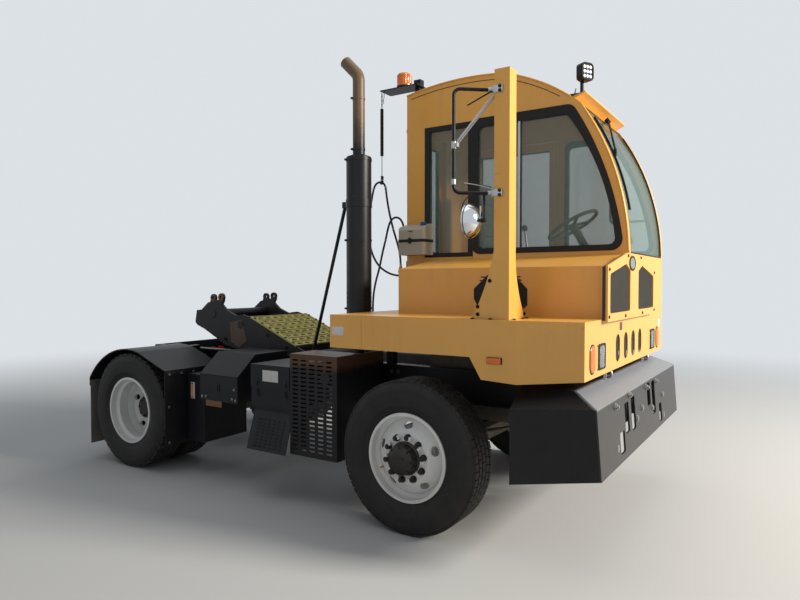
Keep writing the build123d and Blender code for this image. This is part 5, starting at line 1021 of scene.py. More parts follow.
def headlamp(tag, y):
    """Frame, bowl, bulb and lens of one headlamp."""
    made_frame = Blank().shell(lamp_rings(y, [
        (-0.049, 0.02, 0.02, 0.009), (-0.049, 0.1492, 0.1592, 0.022), (0.005, 0.1492, 0.1592, 0.022),
        (0.0078, 0.144, 0.154, 0.022), (0.0078, 0.126, 0.136, 0.026), (-0.002, 0.126, 0.136, 0.026),
        (-0.040, 0.05, 0.05, 0.024)])).done("headlamp_frame_" + tag, SEAL)
    steps = [(-0.0385, 0.048, 0.048, 0.0239), (-0.034, 0.075, 0.078, 0.034), (-0.024, 0.102, 0.110, 0.042),
             (-0.010, 0.118, 0.128, 0.030), (-0.001, 0.1245, 0.1345, 0.026)]
    back = [(FACE_X + x - 0.0012, soft_box_outline(y, LAMP_Z, w + 0.001, h + 0.001, min(c, w / 2)))
            for x, w, h, c in reversed(steps)]
    Blank().shell(lamp_rings(y, steps) + back).done("headlamp_bowl_" + tag, REFLECTOR, smooth=60)
    bulb = [(0, 0.020), (0.004, 0.020), (0.006, 0.010), (0.020, 0.0095), (0.025, 0.006), (0.026, 0)]
    Blank().turned((FACE_X - 0.0385, y, LAMP_Z), X_WAY, bulb, sides=20).done("headlamp_bulb_" + tag, LED)
    Blank().shell(lamp_rings(y, [
        (0.0015, 0.1245, 0.1345, 0.026), (0.0050, 0.1245, 0.1345, 0.026), (0.0070, 0.112, 0.122, 0.026),
    ])).done("headlamp_lens_" + tag, LENS)
    return made_frame


for side, tag in SIDES:
    lamp_frame = headlamp(tag, side * HEADLAMP_Y)
    if side > 0:
        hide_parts("headlamps")

# %% Amber lamps
TURN_Y, TURN_H, TURN_W = 0.942, 0.1640, 0.0950


def turn_outline(side, grow, corner):
    """The slot of a turn lamp, larger by a margin."""
    return soft_box_outline(side * TURN_Y, LAMP_Z, TURN_W + grow, TURN_H + grow, TURN_W / 2 + corner, steps=8)


lenses, rims = Blank(), Blank()
for side in (-1, 1):
    y = side * TURN_Y
    lenses.shell([(FACE_X + x, soft_box_outline(y, LAMP_Z, TURN_W * k, TURN_H - TURN_W * (1 - k),
                                                TURN_W * k / 2 - 1e-4, steps=8))
                  for x, k in ((-0.029, 1.0), (0.002, 1.0), (0.0055, 0.93), (0.0072, 0.70))])
    for i in range(-6, 7):
        half, z = 0.026 if abs(i) < 5 else 0.016, LAMP_Z + i * 0.0095
        lenses.bar((FACE_X + 0.0052, y - half, z), (FACE_X + 0.0052, y + half, z), 0.0028, 8)
    lenses.box((ahead(0.575), side * 1.1305, 1.178), (ahead(0.665), side * 1.148, 1.215), 0.006)
    for i in range(9):
        x = ahead(0.584) + i * 0.009
        lenses.bar((x, side * 1.1478, 1.183), (x, side * 1.1478, 1.210), 0.0026, 8)
    rims.box((ahead(0.570), side * 1.1300, 1.1755), (ahead(0.670), side * 1.138, 1.2175), 0.003)
    outline, hole = turn_outline(side, 0.014, 0.0065), turn_outline(side, -0.002, -0.0015)
    rims.shell([(FACE_X + x, ring) for x, ring in ((0.0003, hole), (0.0003, outline), (0.0032, outline),
                                                   (0.0040, hole), (-0.002, hole))])
amber = lenses.done("amber_lenses", AMBER)
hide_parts("amber_lamps")
rims.done("lamp_rims", SEAL)

# %% [markdown]
# ## Beacon and work light
# The beacon stands on the lamp plate behind the cab. Its cap is amber with fine upright flutes and a
# paler ring at its foot, and the flutes repeat round a circle, so Geometry Nodes place them. The
# work light over the roof is a round-cornered housing with a bright face of small domes.

# %% Beacon
BEACON = (ahead(-0.750), 0.0, 3.358)


def rod_shape(tree, size):
    return drum(tree, 8, size["Radius"], size["Length"], times(tree, size["Length"], 0.5))


RODS = repeat_tree("short_rods", {"Radius": 0.003, "Length": 0.1}, rod_shape)
for name, finish, sides, profile in (
        ("beacon_cap", AMBER, 48, [(0.028, 0.0600), (0.032, 0.0625), (0.112, 0.0590), (0.119, 0.0570),
                                   (0.125, 0.0500), (0.1285, 0.030), (0.1290, 0)]),
        ("beacon_foot", SEAL, 40, [(0.0, 0.0645), (0.012, 0.0650), (0.016, 0.062), (0.016, 0)]),
        ("beacon_collar", PALE_AMBER, 48, [(0.0162, 0.0630), (0.0175, 0.0650), (0.026, 0.0655),
                                           (0.0285, 0.063), (0.0285, 0)])):
    Blank().turned(BEACON, UP, profile, sides).done(name, finish)
flutes = ring_spots((BEACON[0], BEACON[1], BEACON[2] + 0.034), UP, 0.0598, 40)
repeated("beacon_flutes", RODS, flutes, AMBER, radius=0.0032, length=0.076)

# %% Work light
LIGHT_AT = Vector((ahead(0.800), 0.060, 3.230))
LIGHT_WAY = Vector((0.86, -0.51, 0)).normalized()
LIGHT_SIDE = Vector((0.51, 0.86, 0)).normalized()


def on_light(across, up, out):
    """A point in front of the work light's centre."""
    return LIGHT_AT + LIGHT_SIDE * across + Vector((0, 0, up)) + LIGHT_WAY * (0.025 + out)


def light_rings(*steps):
    """Rings of (width, height, corner, out) about the light's own line."""
    return [[on_light(y, z, out) for y, z in soft_box_outline(0, 0, width, height, corner)]
            for width, height, corner, out in steps]


rim = Blank().loft(light_rings(
    (0.092, 0.106, 0.024, 0.0003), (0.118, 0.132, 0.034, 0.0003), (0.118, 0.132, 0.034, 0.006),
    (0.110, 0.124, 0.032, 0.010), (0.098, 0.112, 0.026, 0.010), (0.092, 0.106, 0.024, 0.004)))
for up in range(-4, 5):
    start, end = on_light(-0.048, up * 0.013, -0.062), on_light(0.048, up * 0.013, -0.062)
    rim.plate([start, end, end + LIGHT_WAY * 0.012, start + LIGHT_WAY * 0.012], (0, 0, 0.003))
rim.done("work_light_rim", SEAL)
glow = Blank().loft(light_rings((0.0915, 0.1055, 0.024, 0.0006), (0.0915, 0.1055, 0.024, 0.0035)))
for across in (-0.028, 0, 0.028):
    for up in (-0.034, 0, 0.034):
        glow.turned(on_light(across, up, 0.003), LIGHT_WAY,
                    [(0, 0.0125), (0.0025, 0.011), (0.0045, 0.006), (0.005, 0)], sides=16)
glow.done("work_light_face", LED)

# %% [markdown]
# ## Grille
# Behind the yellow panel's two windows, and behind the four slots of the face, sits a woven wire
# mesh over darkness. At a distance it only reads as dark grey, but close by it has to be wire.
# Diagonal lines are clipped to each window's outline in the script, and the round-stock tree
# sweeps all of them at once.

# %% Woven mesh
GRILLE_Y = -0.045
MESH_X = FACE_X + 0.0225
WIRE_PITCH, WIRE_RADIUS, WIRE_LAYER = 0.0105, 0.0013, 0.0016
SHORTEST_WIRE = 0.004


def clipped(outline, way, offset):
    """The part of a diagonal line that lies in a convex (y, z) outline, or None."""
    (wy, wz), base = way, (way[1] * -offset, way[0] * offset)
    low, high = -9.0, 9.0
    middle_y = sum(p[0] for p in outline) / len(outline)
    middle_z = sum(p[1] for p in outline) / len(outline)
    for (ay, az), (by, bz) in zip(outline, outline[1:] + outline[:1]):
        ny, nz = bz - az, ay - by
        if ny * (middle_y - ay) + nz * (middle_z - az) > 0:
            ny, nz = -ny, -nz
        slope = ny * wy + nz * wz
        gap = ny * (ay - base[0]) + nz * (az - base[1])
        if abs(slope) < 1e-9:
            if gap < 0:
                return None
        elif slope > 0:
            high = min(high, gap / slope)
        else:
            low = max(low, gap / slope)
    if high - low < SHORTEST_WIRE:
        return None
    return [(base[0] + wy * t, base[1] + wz * t) for t in (low, high)]


def weave(outline, x):
    """Wires at plus and minus 45 degrees over an outline."""
    lines = []
    root = math.sqrt(0.5)
    for layer, way in enumerate(((root, root), (root, -root))):
        shifts = [p[1] * way[0] - p[0] * way[1] for p in outline]
        offset = min(shifts)
        while offset < max(shifts):
            piece = clipped(outline, way, offset)
            if piece:
                lines.append([(x + layer * WIRE_LAYER, y, z) for y, z in piece])
            offset += WIRE_PITCH
    return lines


SLOT_Z, SLOT_PITCH, SLOT_SHIFT = 1.238, 0.217, -0.020
WINDOW = ((0.118, 1.476), (0.649, 1.476), (0.649, 1.729), (0.240, 1.801), (0.118, 1.761))
mesh_lines, slot_lines, shade_backing = [], [], Blank()
for side in (-1, 1):
    mesh_lines += weave([(GRILLE_Y + side * y, z) for y, z in WINDOW], MESH_X)
for i in range(4):
    y = SLOT_PITCH * (i - 1.5) + SLOT_SHIFT
    slot_lines += weave(soft_box_outline(y, SLOT_Z, 0.118, 0.191, 0.058), FACE_X - 0.011)
    # a black plate behind each slot is painted shade for the dark inside of the hood
    outline = soft_box_outline(y, SLOT_Z, 0.130, 0.205, 0.050)
    shade_backing.shell([(FACE_X - 0.016, outline), (FACE_X - 0.0135, outline)])
wires("grille_wires", mesh_lines, WIRE_RADIUS, MESH_PAINT, sides=4)
wires("slot_wires", slot_lines, WIRE_RADIUS, MESH_PAINT, sides=4)
shade_backing.done("slot_shade_backing", SEAL)

# %% Screws, plates and the bare oval of the face
PANEL_X = FACE_X + 0.0362
STICKER = (FACE_X + 0.0001, FACE_X + 0.0009)
panel_bolts = [(y, z) for y in (-0.715, 0.625) for z in (1.460, 1.752)]
panel_bolts += [(-0.300, 1.452), (0.210, 1.452), (-0.235, 1.853), (0.145, 1.853)]
bolts("panel_bolts", [(PANEL_X - 0.0004, y, z) for y, z in panel_bolts], X_WAY, Y_WAY, SEAL, 0.017, 0.006)
bolts("lamp_screws", [(FACE_X, side * HEADLAMP_Y + dy, LAMP_Z + dz) for side in (-1, 1)
                      for dy in (-0.088, 0.088) for dz in (-0.07, 0.07)], X_WAY, Y_WAY, STEEL, 0.011, 0.004)
red = Blank().box((STICKER[0], -0.305, 1.352), (STICKER[1], -0.235, 1.406), 0.0004)
red.done("red_face_sticker", DARK_RED)
white = Blank().box((STICKER[0], 0.985, 1.300), (STICKER[1], 1.055, 1.370), 0.0004)
white.box((DECK_REAR + 0.018, -1.1309, 1.300), (DECK_REAR + 0.122, -1.1301, 1.360), 0.0004)
white.done("blank_stickers", BLANK)
outer, rim, inner = [[(GRILLE_Y - 0.075 + w * c, 1.805 + h * s) for c, s in circle(1, 40)]
                     for w, h in ((0.088, 0.052), (0.084, 0.048), (0.074, 0.039))]
oval = Blank().shell([(PANEL_X + x, ring) for x, ring in (
    (-0.0003, outer), (0.0050, outer), (0.0062, rim), (0.0062, inner), (0.0030, inner))])
oval.done("bare_oval_rim", SEAL)
Blank().shell([(PANEL_X + 0.0031, inner), (PANEL_X + 0.0042, inner)]).done("bare_oval_plate", STEEL)

# %% [markdown]
# ## Mirrors
# The right mirror hangs from a square post on a loop of tube. Clamps with bolts hold the loop at the
# top and at the foot, two thin rods brace its middle, and a short dark rod and a wire loop hang
# loose. All of it is round stock, so the stays go through the round-stock tree and the clamps are
# small bent plates round the tube.

# %% Stays and clamps of the mirrors
POST_X, LOOP_X, LOOP_Y = ahead(0.600), ahead(0.400), -1.245
CLAMP_X = POST_X + 0.010
POST_BOLT_Y, RIGHT_BOLT_Y = -1.1102, -1.1002
RIGHT = (0, -1, 0)
wires("mirror_braces", [[(CLAMP_X, -1.092, 2.832), (LOOP_X + 0.012, LOOP_Y + 0.004, 2.512)],
                        [(CLAMP_X, -1.075, 2.824), (LOOP_X + 0.010, LOOP_Y + 0.016, 2.500)]],
      0.0055, STEEL, sides=10)
wires("loose_mirror_rod", [[(CLAMP_X - 0.02, -1.112, 2.828), (LOOP_X + 0.065, -1.192, 2.742)]], 0.0048, SEAL)
wires("mirror_heater_wire", [rounded([(LOOP_X + x, y, z) for x, y, z in (
    (0.11, -1.222, 2.205), (0.070, -1.238, 2.165), (0.052, -1.250, 2.110), (0.070, -1.252, 2.062),
    (0.105, -1.238, 2.060))], 0.03, 4)], 0.0032, SEAL)
wires("mirror_upper_wire", [rounded([(POST_X + 0.002, -1.108, 2.236), (POST_X - 0.08, -1.15, 2.262),
                                     (LOOP_X + 0.06, -1.222, 2.272)], 0.03, 4)], 0.003, STEEL, sides=6)
clamps = Blank().bar((LOOP_X, LOOP_Y, 2.478), (LOOP_X, LOOP_Y, 2.522), 0.0155, 16, 0.002)
clamps.box((LOOP_X + 0.004, LOOP_Y - 0.006, 2.486), (LOOP_X + 0.030, LOOP_Y + 0.018, 2.514), 0.002)
for z in (2.840, 2.215):
    centre = Vector((POST_X + 0.006, -1.078, z))
    clamps.box(centre + Vector((-0.020, -0.032, -0.022)), centre + Vector((0.052, -0.0225, 0.022)), 0.003)
    clamps.bar(centre + Vector((-0.022, -0.012, 0)), centre + Vector((-0.046, -0.030, 0)), 0.0155, 14, 0.002)
clamps.bar((LOOP_X, LOOP_Y, 2.262), (LOOP_X, LOOP_Y, 2.296), 0.0145, 14, 0.002)
clamps.done("mirror_clamps", STEEL)
bolts("mirror_clamp_bolts", [(POST_X + 0.040, POST_BOLT_Y, z) for z in (2.852, 2.826, 2.228, 2.200)],
      RIGHT, X_WAY, SEAL, 0.016, 0.010, 0.006)
gusset_bolts = [((x, RIGHT_BOLT_Y, z), RIGHT, X_WAY)
                for x, z in ((1.714, 1.682), (1.633, 1.522), (1.633, 1.475))]
gusset_bolts += [((ahead(0.7001), y, z), X_WAY, Y_WAY)
                 for y, z in ((-0.946, 1.685), (-0.862, 1.520), (-0.861, 1.475))]
gusset_bolts += [((x, y, 1.4452), UP, X_WAY) for x, y in (
    (1.600, -1.112), (1.722, -1.112), (1.857, -1.060), (1.857, -0.922), (1.857, -0.860))]
repeated("post_foot_bolts", NUTS, gusset_bolts, SEAL, across=0.018, height=0.008)

# %% Rims and straps of the round mirrors
MIRROR_Y, MIRROR_Z = 1.225, 2.040
LEFT_MIRROR_X, RIGHT_MIRROR_X = ahead(0.790), ahead(0.500)
MIRROR_RIM = [(-0.0085, 0.0), (-0.0085, 0.1035), (-0.004, 0.1049), (0.002, 0.1049), (0.0055, 0.1035),
              (0.0035, 0.1015), (-0.0065, 0.1005), (-0.0065, 0.0)]
for side, tag in SIDES:
    x, y, z = LEFT_MIRROR_X if side > 0 else RIGHT_MIRROR_X, side * MIRROR_Y, MIRROR_Z
    Blank().turned((x, y, z), X_WAY, MIRROR_RIM, sides=48).done("mirror_rim_" + tag, SEAL)
    strap = Blank().box((x + 0.0705, y - 0.011, z - 0.014), (x + 0.0745, y + 0.011, z + 0.085), 0.0015)
    strap.turned((x + 0.0745, y, z), X_WAY, [(0, 0.012), (0.004, 0.012), (0.007, 0.007), (0.007, 0)], sides=6)
    strap.done("mirror_strap_" + tag, CHROME)

# %% [markdown]
# ## Air intake beside the post
# Behind the post's foot the hood side has a long opening with clipped corners, darkness and a
# louvred core. The solid hood has no opening there, so a black frame with slats stands just proud, and flat
# black faces that close the frame are painted shade for the dark opening.

# %% Intake
INTAKE_Y, INTAKE_X, INTAKE_Z = -0.6901, 0.460, 1.600
OPENING = [(0.265, 1.56), (0.265, 1.63), (0.380, 1.735), (0.550, 1.735), (0.655, 1.63), (0.655, 1.52),
           (0.560, 1.470), (0.320, 1.470)]
FRAME_STEPS = ((1.0, 0.0), (1.0, 0.0025), (0.97, 0.0040), (0.94, 0.0040), (0.94, 0.0010))  # size, height
# the loft's ends are closed by flat black faces that fill the opening: painted shade
intake = Blank().loft([
    [(ahead(INTAKE_X + (x - INTAKE_X) * size), INTAKE_Y - out, INTAKE_Z + (z - INTAKE_Z) * size)
     for x, z in OPENING] for size, out in FRAME_STEPS])
SLATS, LOWEST_SLAT, SLAT_PITCH = 10, 1.490, 0.024
for i in range(SLATS):
    z = LOWEST_SLAT + i * SLAT_PITCH
    narrow = 0.010 + 0.35 * max(0.0, z - 1.640)  # the slats shorten with the opening
    intake.box((ahead(0.285) + narrow, INTAKE_Y - 0.0034, z),
               (ahead(0.640) - narrow, INTAKE_Y - 0.0006, z + 0.008), 0.001)
intake.done("intake_core_and_painted_shade", SEAL)

# %% [markdown]
# ## Edges, seams and rails of the cab
# Folded sheet has a roll along its open edges, and that roll is what catches the low sun along the
# roof line. A rolled bead follows the wall's own outline, and a thin black line a hand's width below it
# is painted shade for a groove. The same arcs as in the solid are worked out from three points each.

# %% Roof bead
ROOF_LINE = arc_through((ahead(-0.690), 3.275), (ahead(-0.250), 3.330), (ahead(0.200), 3.310), 20)
BROW_LINE = arc_through((ahead(0.200), 3.310), (ahead(0.534), 3.172), (ahead(0.805), 2.985), 14)
SCREEN_LINE = arc_through((ahead(0.805), 2.985), (ahead(1.036), 2.538), (FACE_X, 1.900), 20)
beads, groove_shade_lines = [], []
for y, side in ((-0.050, -1), (1.130, 1)):
    beads.append([(x, y + side * 0.001, z - 0.006) for x, z in ROOF_LINE + BROW_LINE[1:-2]])
    beads.append([(x - 0.006, y + side * 0.001, z) for x, z in SCREEN_LINE[1:]])
    groove_shade_lines.append([(x, y + side * 0.0004, z - 0.050 + 0.0004) for x, z in ROOF_LINE[1:] + BROW_LINE[1:-4]])
wires("roof_beads", beads, 0.0075, YELLOW, sides=10)
# painted shade: a thin black line where the groove is dark
wires("roof_groove_shade_lines", groove_shade_lines, 0.0028, SEAL, sides=6)
screen_sides = [[(x - 0.004, y, z) for x, z in SCREEN_LINE[1:]] for y in (-0.004, 1.084)]
wires("screen_gasket", screen_sides, 0.006, SEAL)
strip = Blank().box((ahead(0.3205), -0.0515, 1.930), (ahead(0.3395), -0.0465, 2.930), 0.002)
strip.done("window_bar_strip", STEEL)
header = Blank().box((ahead(0.782), -0.008, 2.978), (ahead(0.800), 1.088, 2.990), 0.003)
header.box((FACE_X - 0.022, -0.008, 1.876), (FACE_X - 0.004, 1.088, 1.892), 0.003).done("screen_ends", SEAL)

# %% Handles, rails and gaskets
RAIL_X = ahead(-0.655)
wires("left_grab_rail", [rounded([(RAIL_X, 1.131, 1.62), (RAIL_X, 1.155, 1.62), (RAIL_X, 1.155, 2.62),
                                  (RAIL_X, 1.131, 2.62)], 0.02)], 0.011, SEAL, sides=12)
for name, body, boxes in (
        ("door_latch", "cab_door", [((-0.585, 1.1305, 2.060), (-0.545, 1.136, 2.180), 0.003),
                                    ((-0.575, 1.1362, 2.070), (-0.557, 1.1510, 2.170), 0.005)]),
        ("rear_door_handle", "rear_door", [((-0.7303, 0.045, 2.020), (-0.7360, 0.075, 2.200), 0.002),
                                           ((-0.7360, 0.052, 2.035), (-0.7390, 0.068, 2.185), 0.001)]),
        ("rear_door_gasket", "rear_door", [
            ((-0.7312, y0, z0), (-0.7312 + 0.030, y1, z1), 0.002)
            for y0, y1, z0, z1 in ((0.084, 0.526, 1.944, 1.958), (0.084, 0.526, 2.892, 2.906),
                                   (0.084, 0.098, 1.944, 2.906), (0.512, 0.526, 1.944, 2.906))]),
        ("door_gasket", "cab_door", [
            ((x0, 1.1005, z0), (x1, 1.1335, z1), 0.003)
            for x0, x1, z0, z1 in ((-0.548, 0.178, 1.944, 1.960), (-0.548, 0.178, 2.902, 2.918),
                                   (-0.548, -0.532, 1.944, 2.918), (0.162, 0.178, 1.944, 2.918))])):
    blank = Blank()
    for low, high, ease in boxes:
        blank.box((ahead(low[0]), *low[1:]), (ahead(high[0]), *high[1:]), ease)
    blank.done(name, SEAL, body)
Blank().turned((ahead(0.745), -0.020, 3.040), (0.25, 0, 1), [
    (0, 0.012), (0.010, 0.012), (0.016, 0.005), (0.030, 0.004), (0.062, 0.003), (0.064, 0)],
    sides=12).done("roof_marker", SEAL)

# %% [markdown]
# ## Inside the cab
# Through the glass one sees the dash with its dials, a stalk and pedals, the seat and its belt. The
# dials have bezels, a pale scale ring and a needle and carry no words. Numbers would be
# too small to see from outside.

# %% Dials and controls
SEAT_Y, SEAT_X, FLOOR_TOP = 0.560, ahead(-0.020), 1.485
DASH_WAY = Vector((-0.77, 0, 0.64)).normalized()
NEEDLE_WAY = Vector((0.3, 0.7, 0.36))
dials, faces, needles = Blank(), Blank(), Blank()
for y, z, size in ((0.46, 1.925, 0.045), (0.66, 1.925, 0.045), (0.56, 1.930, 0.030), (0.36, 1.925, 0.028),
                   (0.76, 1.925, 0.028)):
    spot = Vector((ahead(0.812), y, z - 0.015))
    dials.turned(spot, DASH_WAY, [(0, size + 0.008), (0.010, size + 0.006), (0.013, size + 0.001),
                                  (0.009, size), (0.005, size), (0.005, 0)], sides=28)
    faces.turned(spot, DASH_WAY, [(0.0052, size * 0.98), (0.0062, size * 0.98), (0.0062, size * 0.80),
                                  (0.0052, size * 0.80)], sides=28, closed=True)
    pivot = spot + DASH_WAY * 0.0085
    needles.bar(pivot, pivot + NEEDLE_WAY * size * 0.75, 0.0018, 6)
dials.done("dial_bezels", PLASTIC)
faces.done("dial_scales", BLANK)
needles.done("dial_needles", DARK_RED)
controls = Blank()
for i in range(6):
    y = 0.14 + i * 0.026
    controls.box((ahead(0.786), y, 1.800), (ahead(0.796), y + 0.018, 1.832), 0.003)
for y in (0.62, 0.50):
    controls.box((ahead(0.745), y - 0.035, 1.56), (ahead(0.765), y + 0.035, 1.68), 0.004)
    controls.bar((ahead(0.760), y, 1.60), (ahead(0.925), y, 1.60), 0.008, 10)
controls.bar((ahead(0.62), 0.565, 2.06), (ahead(0.58), 0.72, 2.10), 0.006, 10, 0.002)
controls.bar((ahead(0.58), 0.72, 2.10), (ahead(0.572), 0.745, 2.106), 0.012, 12, 0.004)
controls.done("switches_pedals_stalk", PLASTIC)
LEVER = [(ahead(x), 0.25, FLOOR_TOP + up) for x, up in ((0.30, 0), (0.30, 0.35), (0.26, 0.62))]
wires("shift_lever", [rounded(LEVER, 0.1)], 0.009, STEEL, sides=10)
knob = Blank().turned((ahead(0.262), 0.25, FLOOR_TOP + 0.61), (-0.1, 0, 1), [
    (0, 0.010), (0.006, 0.020), (0.022, 0.026), (0.040, 0.022), (0.050, 0.010), (0.052, 0)], sides=20)
knob.box((ahead(0.14), 0.17, FLOOR_TOP + 0.0002), (ahead(0.42), 0.34, FLOOR_TOP + 0.25), 0.02)
knob.done("lever_console", PLASTIC)

# %% [markdown]
# ## Seat
# The seat is a crowned cushion and a tall backrest in black vinyl with sewn channels. A subdivided
# box would give the rounding but not the strained look of upholstery, so each pad starts a
# little small and is blown up with a short cloth simulation, held to under two centimetres. The
# channels are pressed in afterwards, because remeshing erases narrow seams.

# %% Pads
SWELL_FRAMES, SWELL_PRESSURE, SWELL_CAP = 20, 4.0, 0.016
CHANNEL_DEPTH = 0.008


def pad_blank(name, low, high, placing, ease):
    """A closed box with eased edges, and enough points to swell."""
    blank = eased_cube(low, high, ease, 4, 0.5)
    bmesh.ops.transform(blank, matrix=placing, verts=blank.verts)
    mesh = bpy.data.meshes.new(name + "_box")
    blank.to_mesh(mesh)
    blank.free()
    pad = set_out(name, mesh)
    remesh = pad.modifiers.new("even", "REMESH")
    remesh.mode = "VOXEL"
    remesh.voxel_size = 0.006
    grown(pad, name)
    return pad


def swell(pad):
    """Blows a pad up with cloth, and holds each point within a cap of its start."""
    start = [v.co.copy() for v in pad.data.vertices]
    cloth = pad.modifiers.new("air", "CLOTH").settings
    cloth.use_pressure = True
    cloth.uniform_pressure_force = SWELL_PRESSURE
    cloth.effector_weights.gravity = 0.0
    cloth.quality = 4
    for frame_number in range(1, SWELL_FRAMES + 1):
        scene.frame_set(frame_number)
    swollen = grown(pad, pad.name)
    scene.frame_set(1)
    for vertex, before in zip(swollen.vertices, start):
        move = vertex.co - before
        if move.length > SWELL_CAP:
            vertex.co = before + move.normalized() * SWELL_CAP
    print(pad.name, "swollen by at most", SWELL_CAP)


def finish_pad(pad, press):
    for vertex in pad.data.vertices:
        vertex.co = press(vertex.co.copy())
    smooth = pad.modifiers.new("soft", "SUBSURF")
    smooth.levels = smooth.render_levels = 1
    for face in pad.data.polygons:
        face.use_smooth = True
    pad.data.materials.clear()
    pad.data.materials.append(VINYL)
    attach(pad, "chassis")
    print(pad.name, "points", len(pad.data.vertices))


# %% Seat cushion
base = pad_blank("seat_cushion", (SEAT_X - 0.205, SEAT_Y - 0.218, FLOOR_TOP + 0.318),
                 (SEAT_X + 0.228, SEAT_Y + 0.218, FLOOR_TOP + 0.408), Matrix.Identity(4), 0.032)
swell(base)


def press_base(point):
    across = abs((point.y - SEAT_Y) / 0.0622 % 1.0 - 0.5)
    top = max(0.0, min(1.0, (point.z - (FLOOR_TOP + 0.365)) / 0.03))
    inside = 1.0 if abs(point.y - SEAT_Y) < 0.165 and abs(point.x - SEAT_X - 0.012) < 0.185 else 0.0
    point.z -= CHANNEL_DEPTH * top * inside * max(0.0, 1 - across / 0.10)
    point.z += 0.012 * top * math.cos(min(1.0, abs(point.x - SEAT_X) / 0.24) * math.pi / 2)
    return point


finish_pad(base, press_base)

# %% Backrest
LEAN = math.atan2(0.08, 0.69)
TO_BACK = (Matrix.Translation(Vector((SEAT_X - 0.186, SEAT_Y, FLOOR_TOP + 0.440)))
           @ Matrix.Rotation(-LEAN, 4, "Y"))
FROM_BACK = TO_BACK.inverted()
back = pad_blank("seat_backrest", (-0.034, -0.198, 0.020), (0.040, 0.198, 0.655), TO_BACK, 0.030)
swell(back)


def press_back(point):
    local = FROM_BACK @ point
    row = abs(local.z / 0.098 % 1.0 - 0.5)
    front = max(0.0, min(1.0, (local.x - 0.012) / 0.02))
    inside = 1.0 if abs(local.y) < 0.150 and 0.06 < local.z < 0.62 else 0.0
    local.x -= CHANNEL_DEPTH * front * inside * max(0.0, 1 - row / 0.10)
    local.y *= 1 - 0.16 * max(0.0, (local.z - 0.36) / 0.30) ** 2
    return TO_BACK @ local


finish_pad(back, press_back)
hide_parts("seat_cushions")

# %% Seat shell and belt
shell = Blank().box((SEAT_X - 0.215, SEAT_Y - 0.205, FLOOR_TOP + 0.3003),
                    (SEAT_X + 0.20, SEAT_Y + 0.205, FLOOR_TOP + 0.314), 0.004)
shell.box((-0.060, -0.170, -0.02), (-0.052, 0.170, 0.640), 0.004, TO_BACK).done("seat_shell", PLASTIC)
belt = Blank()
for side in (-1, 1):
    belt.box((SEAT_X - 0.185, SEAT_Y + side * 0.246, FLOOR_TOP + 0.33),
             (SEAT_X - 0.140, SEAT_Y + side * 0.250, FLOOR_TOP + 0.50), 0.001)
belt.box((SEAT_X - 0.18, SEAT_Y + 0.236, FLOOR_TOP + 0.46),
         (SEAT_X - 0.145, SEAT_Y + 0.256, FLOOR_TOP + 0.53), 0.004)
belt.done("seat_belt_ends", SEAT_BELT)

# %% [markdown]
# ## Exhaust
# The shielded stack is rolled sheet held by band clamps, and the bare tail pipe above it is burnt
# brown. Bands with bolted ears sit at both ends of the shield, and rows of small slots lie round
# its foot. Bands are turned rings, the ears are small eased boxes.

# %% Bands of the stack
STACK_X, STACK_Y = ahead(-0.795), -0.600


def band(blank, start, along, radius, thick, width, sides):
    """A flat ring round a line."""
    blank.turned(start, along, [(0, radius), (0, radius + thick), (width, radius + thick), (width, radius)],
                 sides=sides, closed=True)


bands, can = Blank(), Blank()
for z, radius in ((1.46, 0.1003), (2.0, 0.1003), (2.635, 0.1003), (2.72, 0.0482), (3.12, 0.0482)):
    band(bands, (STACK_X, STACK_Y, z), UP, radius, 0.003, 0.018, 40)
    spot = Vector((STACK_X, STACK_Y, z + 0.009)) + Vector((-0.6, -0.8, 0)) * (radius + 0.009)
    bands.box(spot - Vector((0.008, 0.008, 0.008)), spot + Vector((0.008, 0.008, 0.008)), 0.002)
bands.turned((STACK_X, STACK_Y, 2.664), UP, [
    (0.0005, 0.0485), (0.0005, 0.099), (0.004, 0.098), (0.020, 0.060), (0.024, 0.0485)], sides=40, closed=True)
bands.done("stack_bands", STACK)
for z in (0.47, 0.75, 1.055):
    band(can, (STACK_X, -0.656, z), UP, 0.1403, 0.0022, 0.022, 40)
can.done("exhaust_can_bands", STEEL)
# thin black discs paint the shade inside the shield's holes
slots = []
for row in range(3):
    for i in range(24):
        angle = 2 * math.pi * (i + 0.5 * (row % 2)) / 24
        arm = Vector((math.cos(angle), math.sin(angle), 0))
        slots.append((Vector((STACK_X, STACK_Y, 1.52 + row * 0.035)) + arm * 0.0995, arm, UP))
repeated("shield_hole_shade_discs", RODS, slots, SEAL, radius=0.0075, length=0.0008)

# %% [markdown]
# ## Spring hanger, strap and chain
# The hose loop hangs from the lamp plate by a wire, a long coil spring and a strap tied in a knot.
# The coil is one spiral line through the round-stock tree, and the knot is a short rubber wrap.

# %% Hanger
HANG_X, HANG_Y = ahead(-0.952), -0.050
COIL_TURNS, COIL_STEPS, COIL_RADIUS, COIL_FOOT, COIL_LENGTH = 46, 10, 0.0125, 2.795, 0.400
coil = []
for i in range(COIL_TURNS * COIL_STEPS + 1):
    angle = 2 * math.pi * i / COIL_STEPS
    coil.append((HANG_X + COIL_RADIUS * math.cos(angle), HANG_Y + COIL_RADIUS * math.sin(angle),
                 COIL_FOOT + COIL_LENGTH * i / (COIL_TURNS * COIL_STEPS)))
wires("hanger_spring", [coil], 0.0030, SEAL, sides=6)
knot = Blank()
for z in (2.560, 2.580, 2.598):
    knot.turned((HANG_X, HANG_Y, z), (0.2, 0.1, 1), [
        (0, 0.006), (0.001, 0.013), (0.009, 0.0145), (0.015, 0.012), (0.017, 0.005)], sides=16)
knot.box((HANG_X - 0.016, HANG_Y - 0.013, 2.540), (HANG_X + 0.016, HANG_Y + 0.013, 2.557), 0.005)
knot.done("hose_tie_knot", SEAL)
links = []
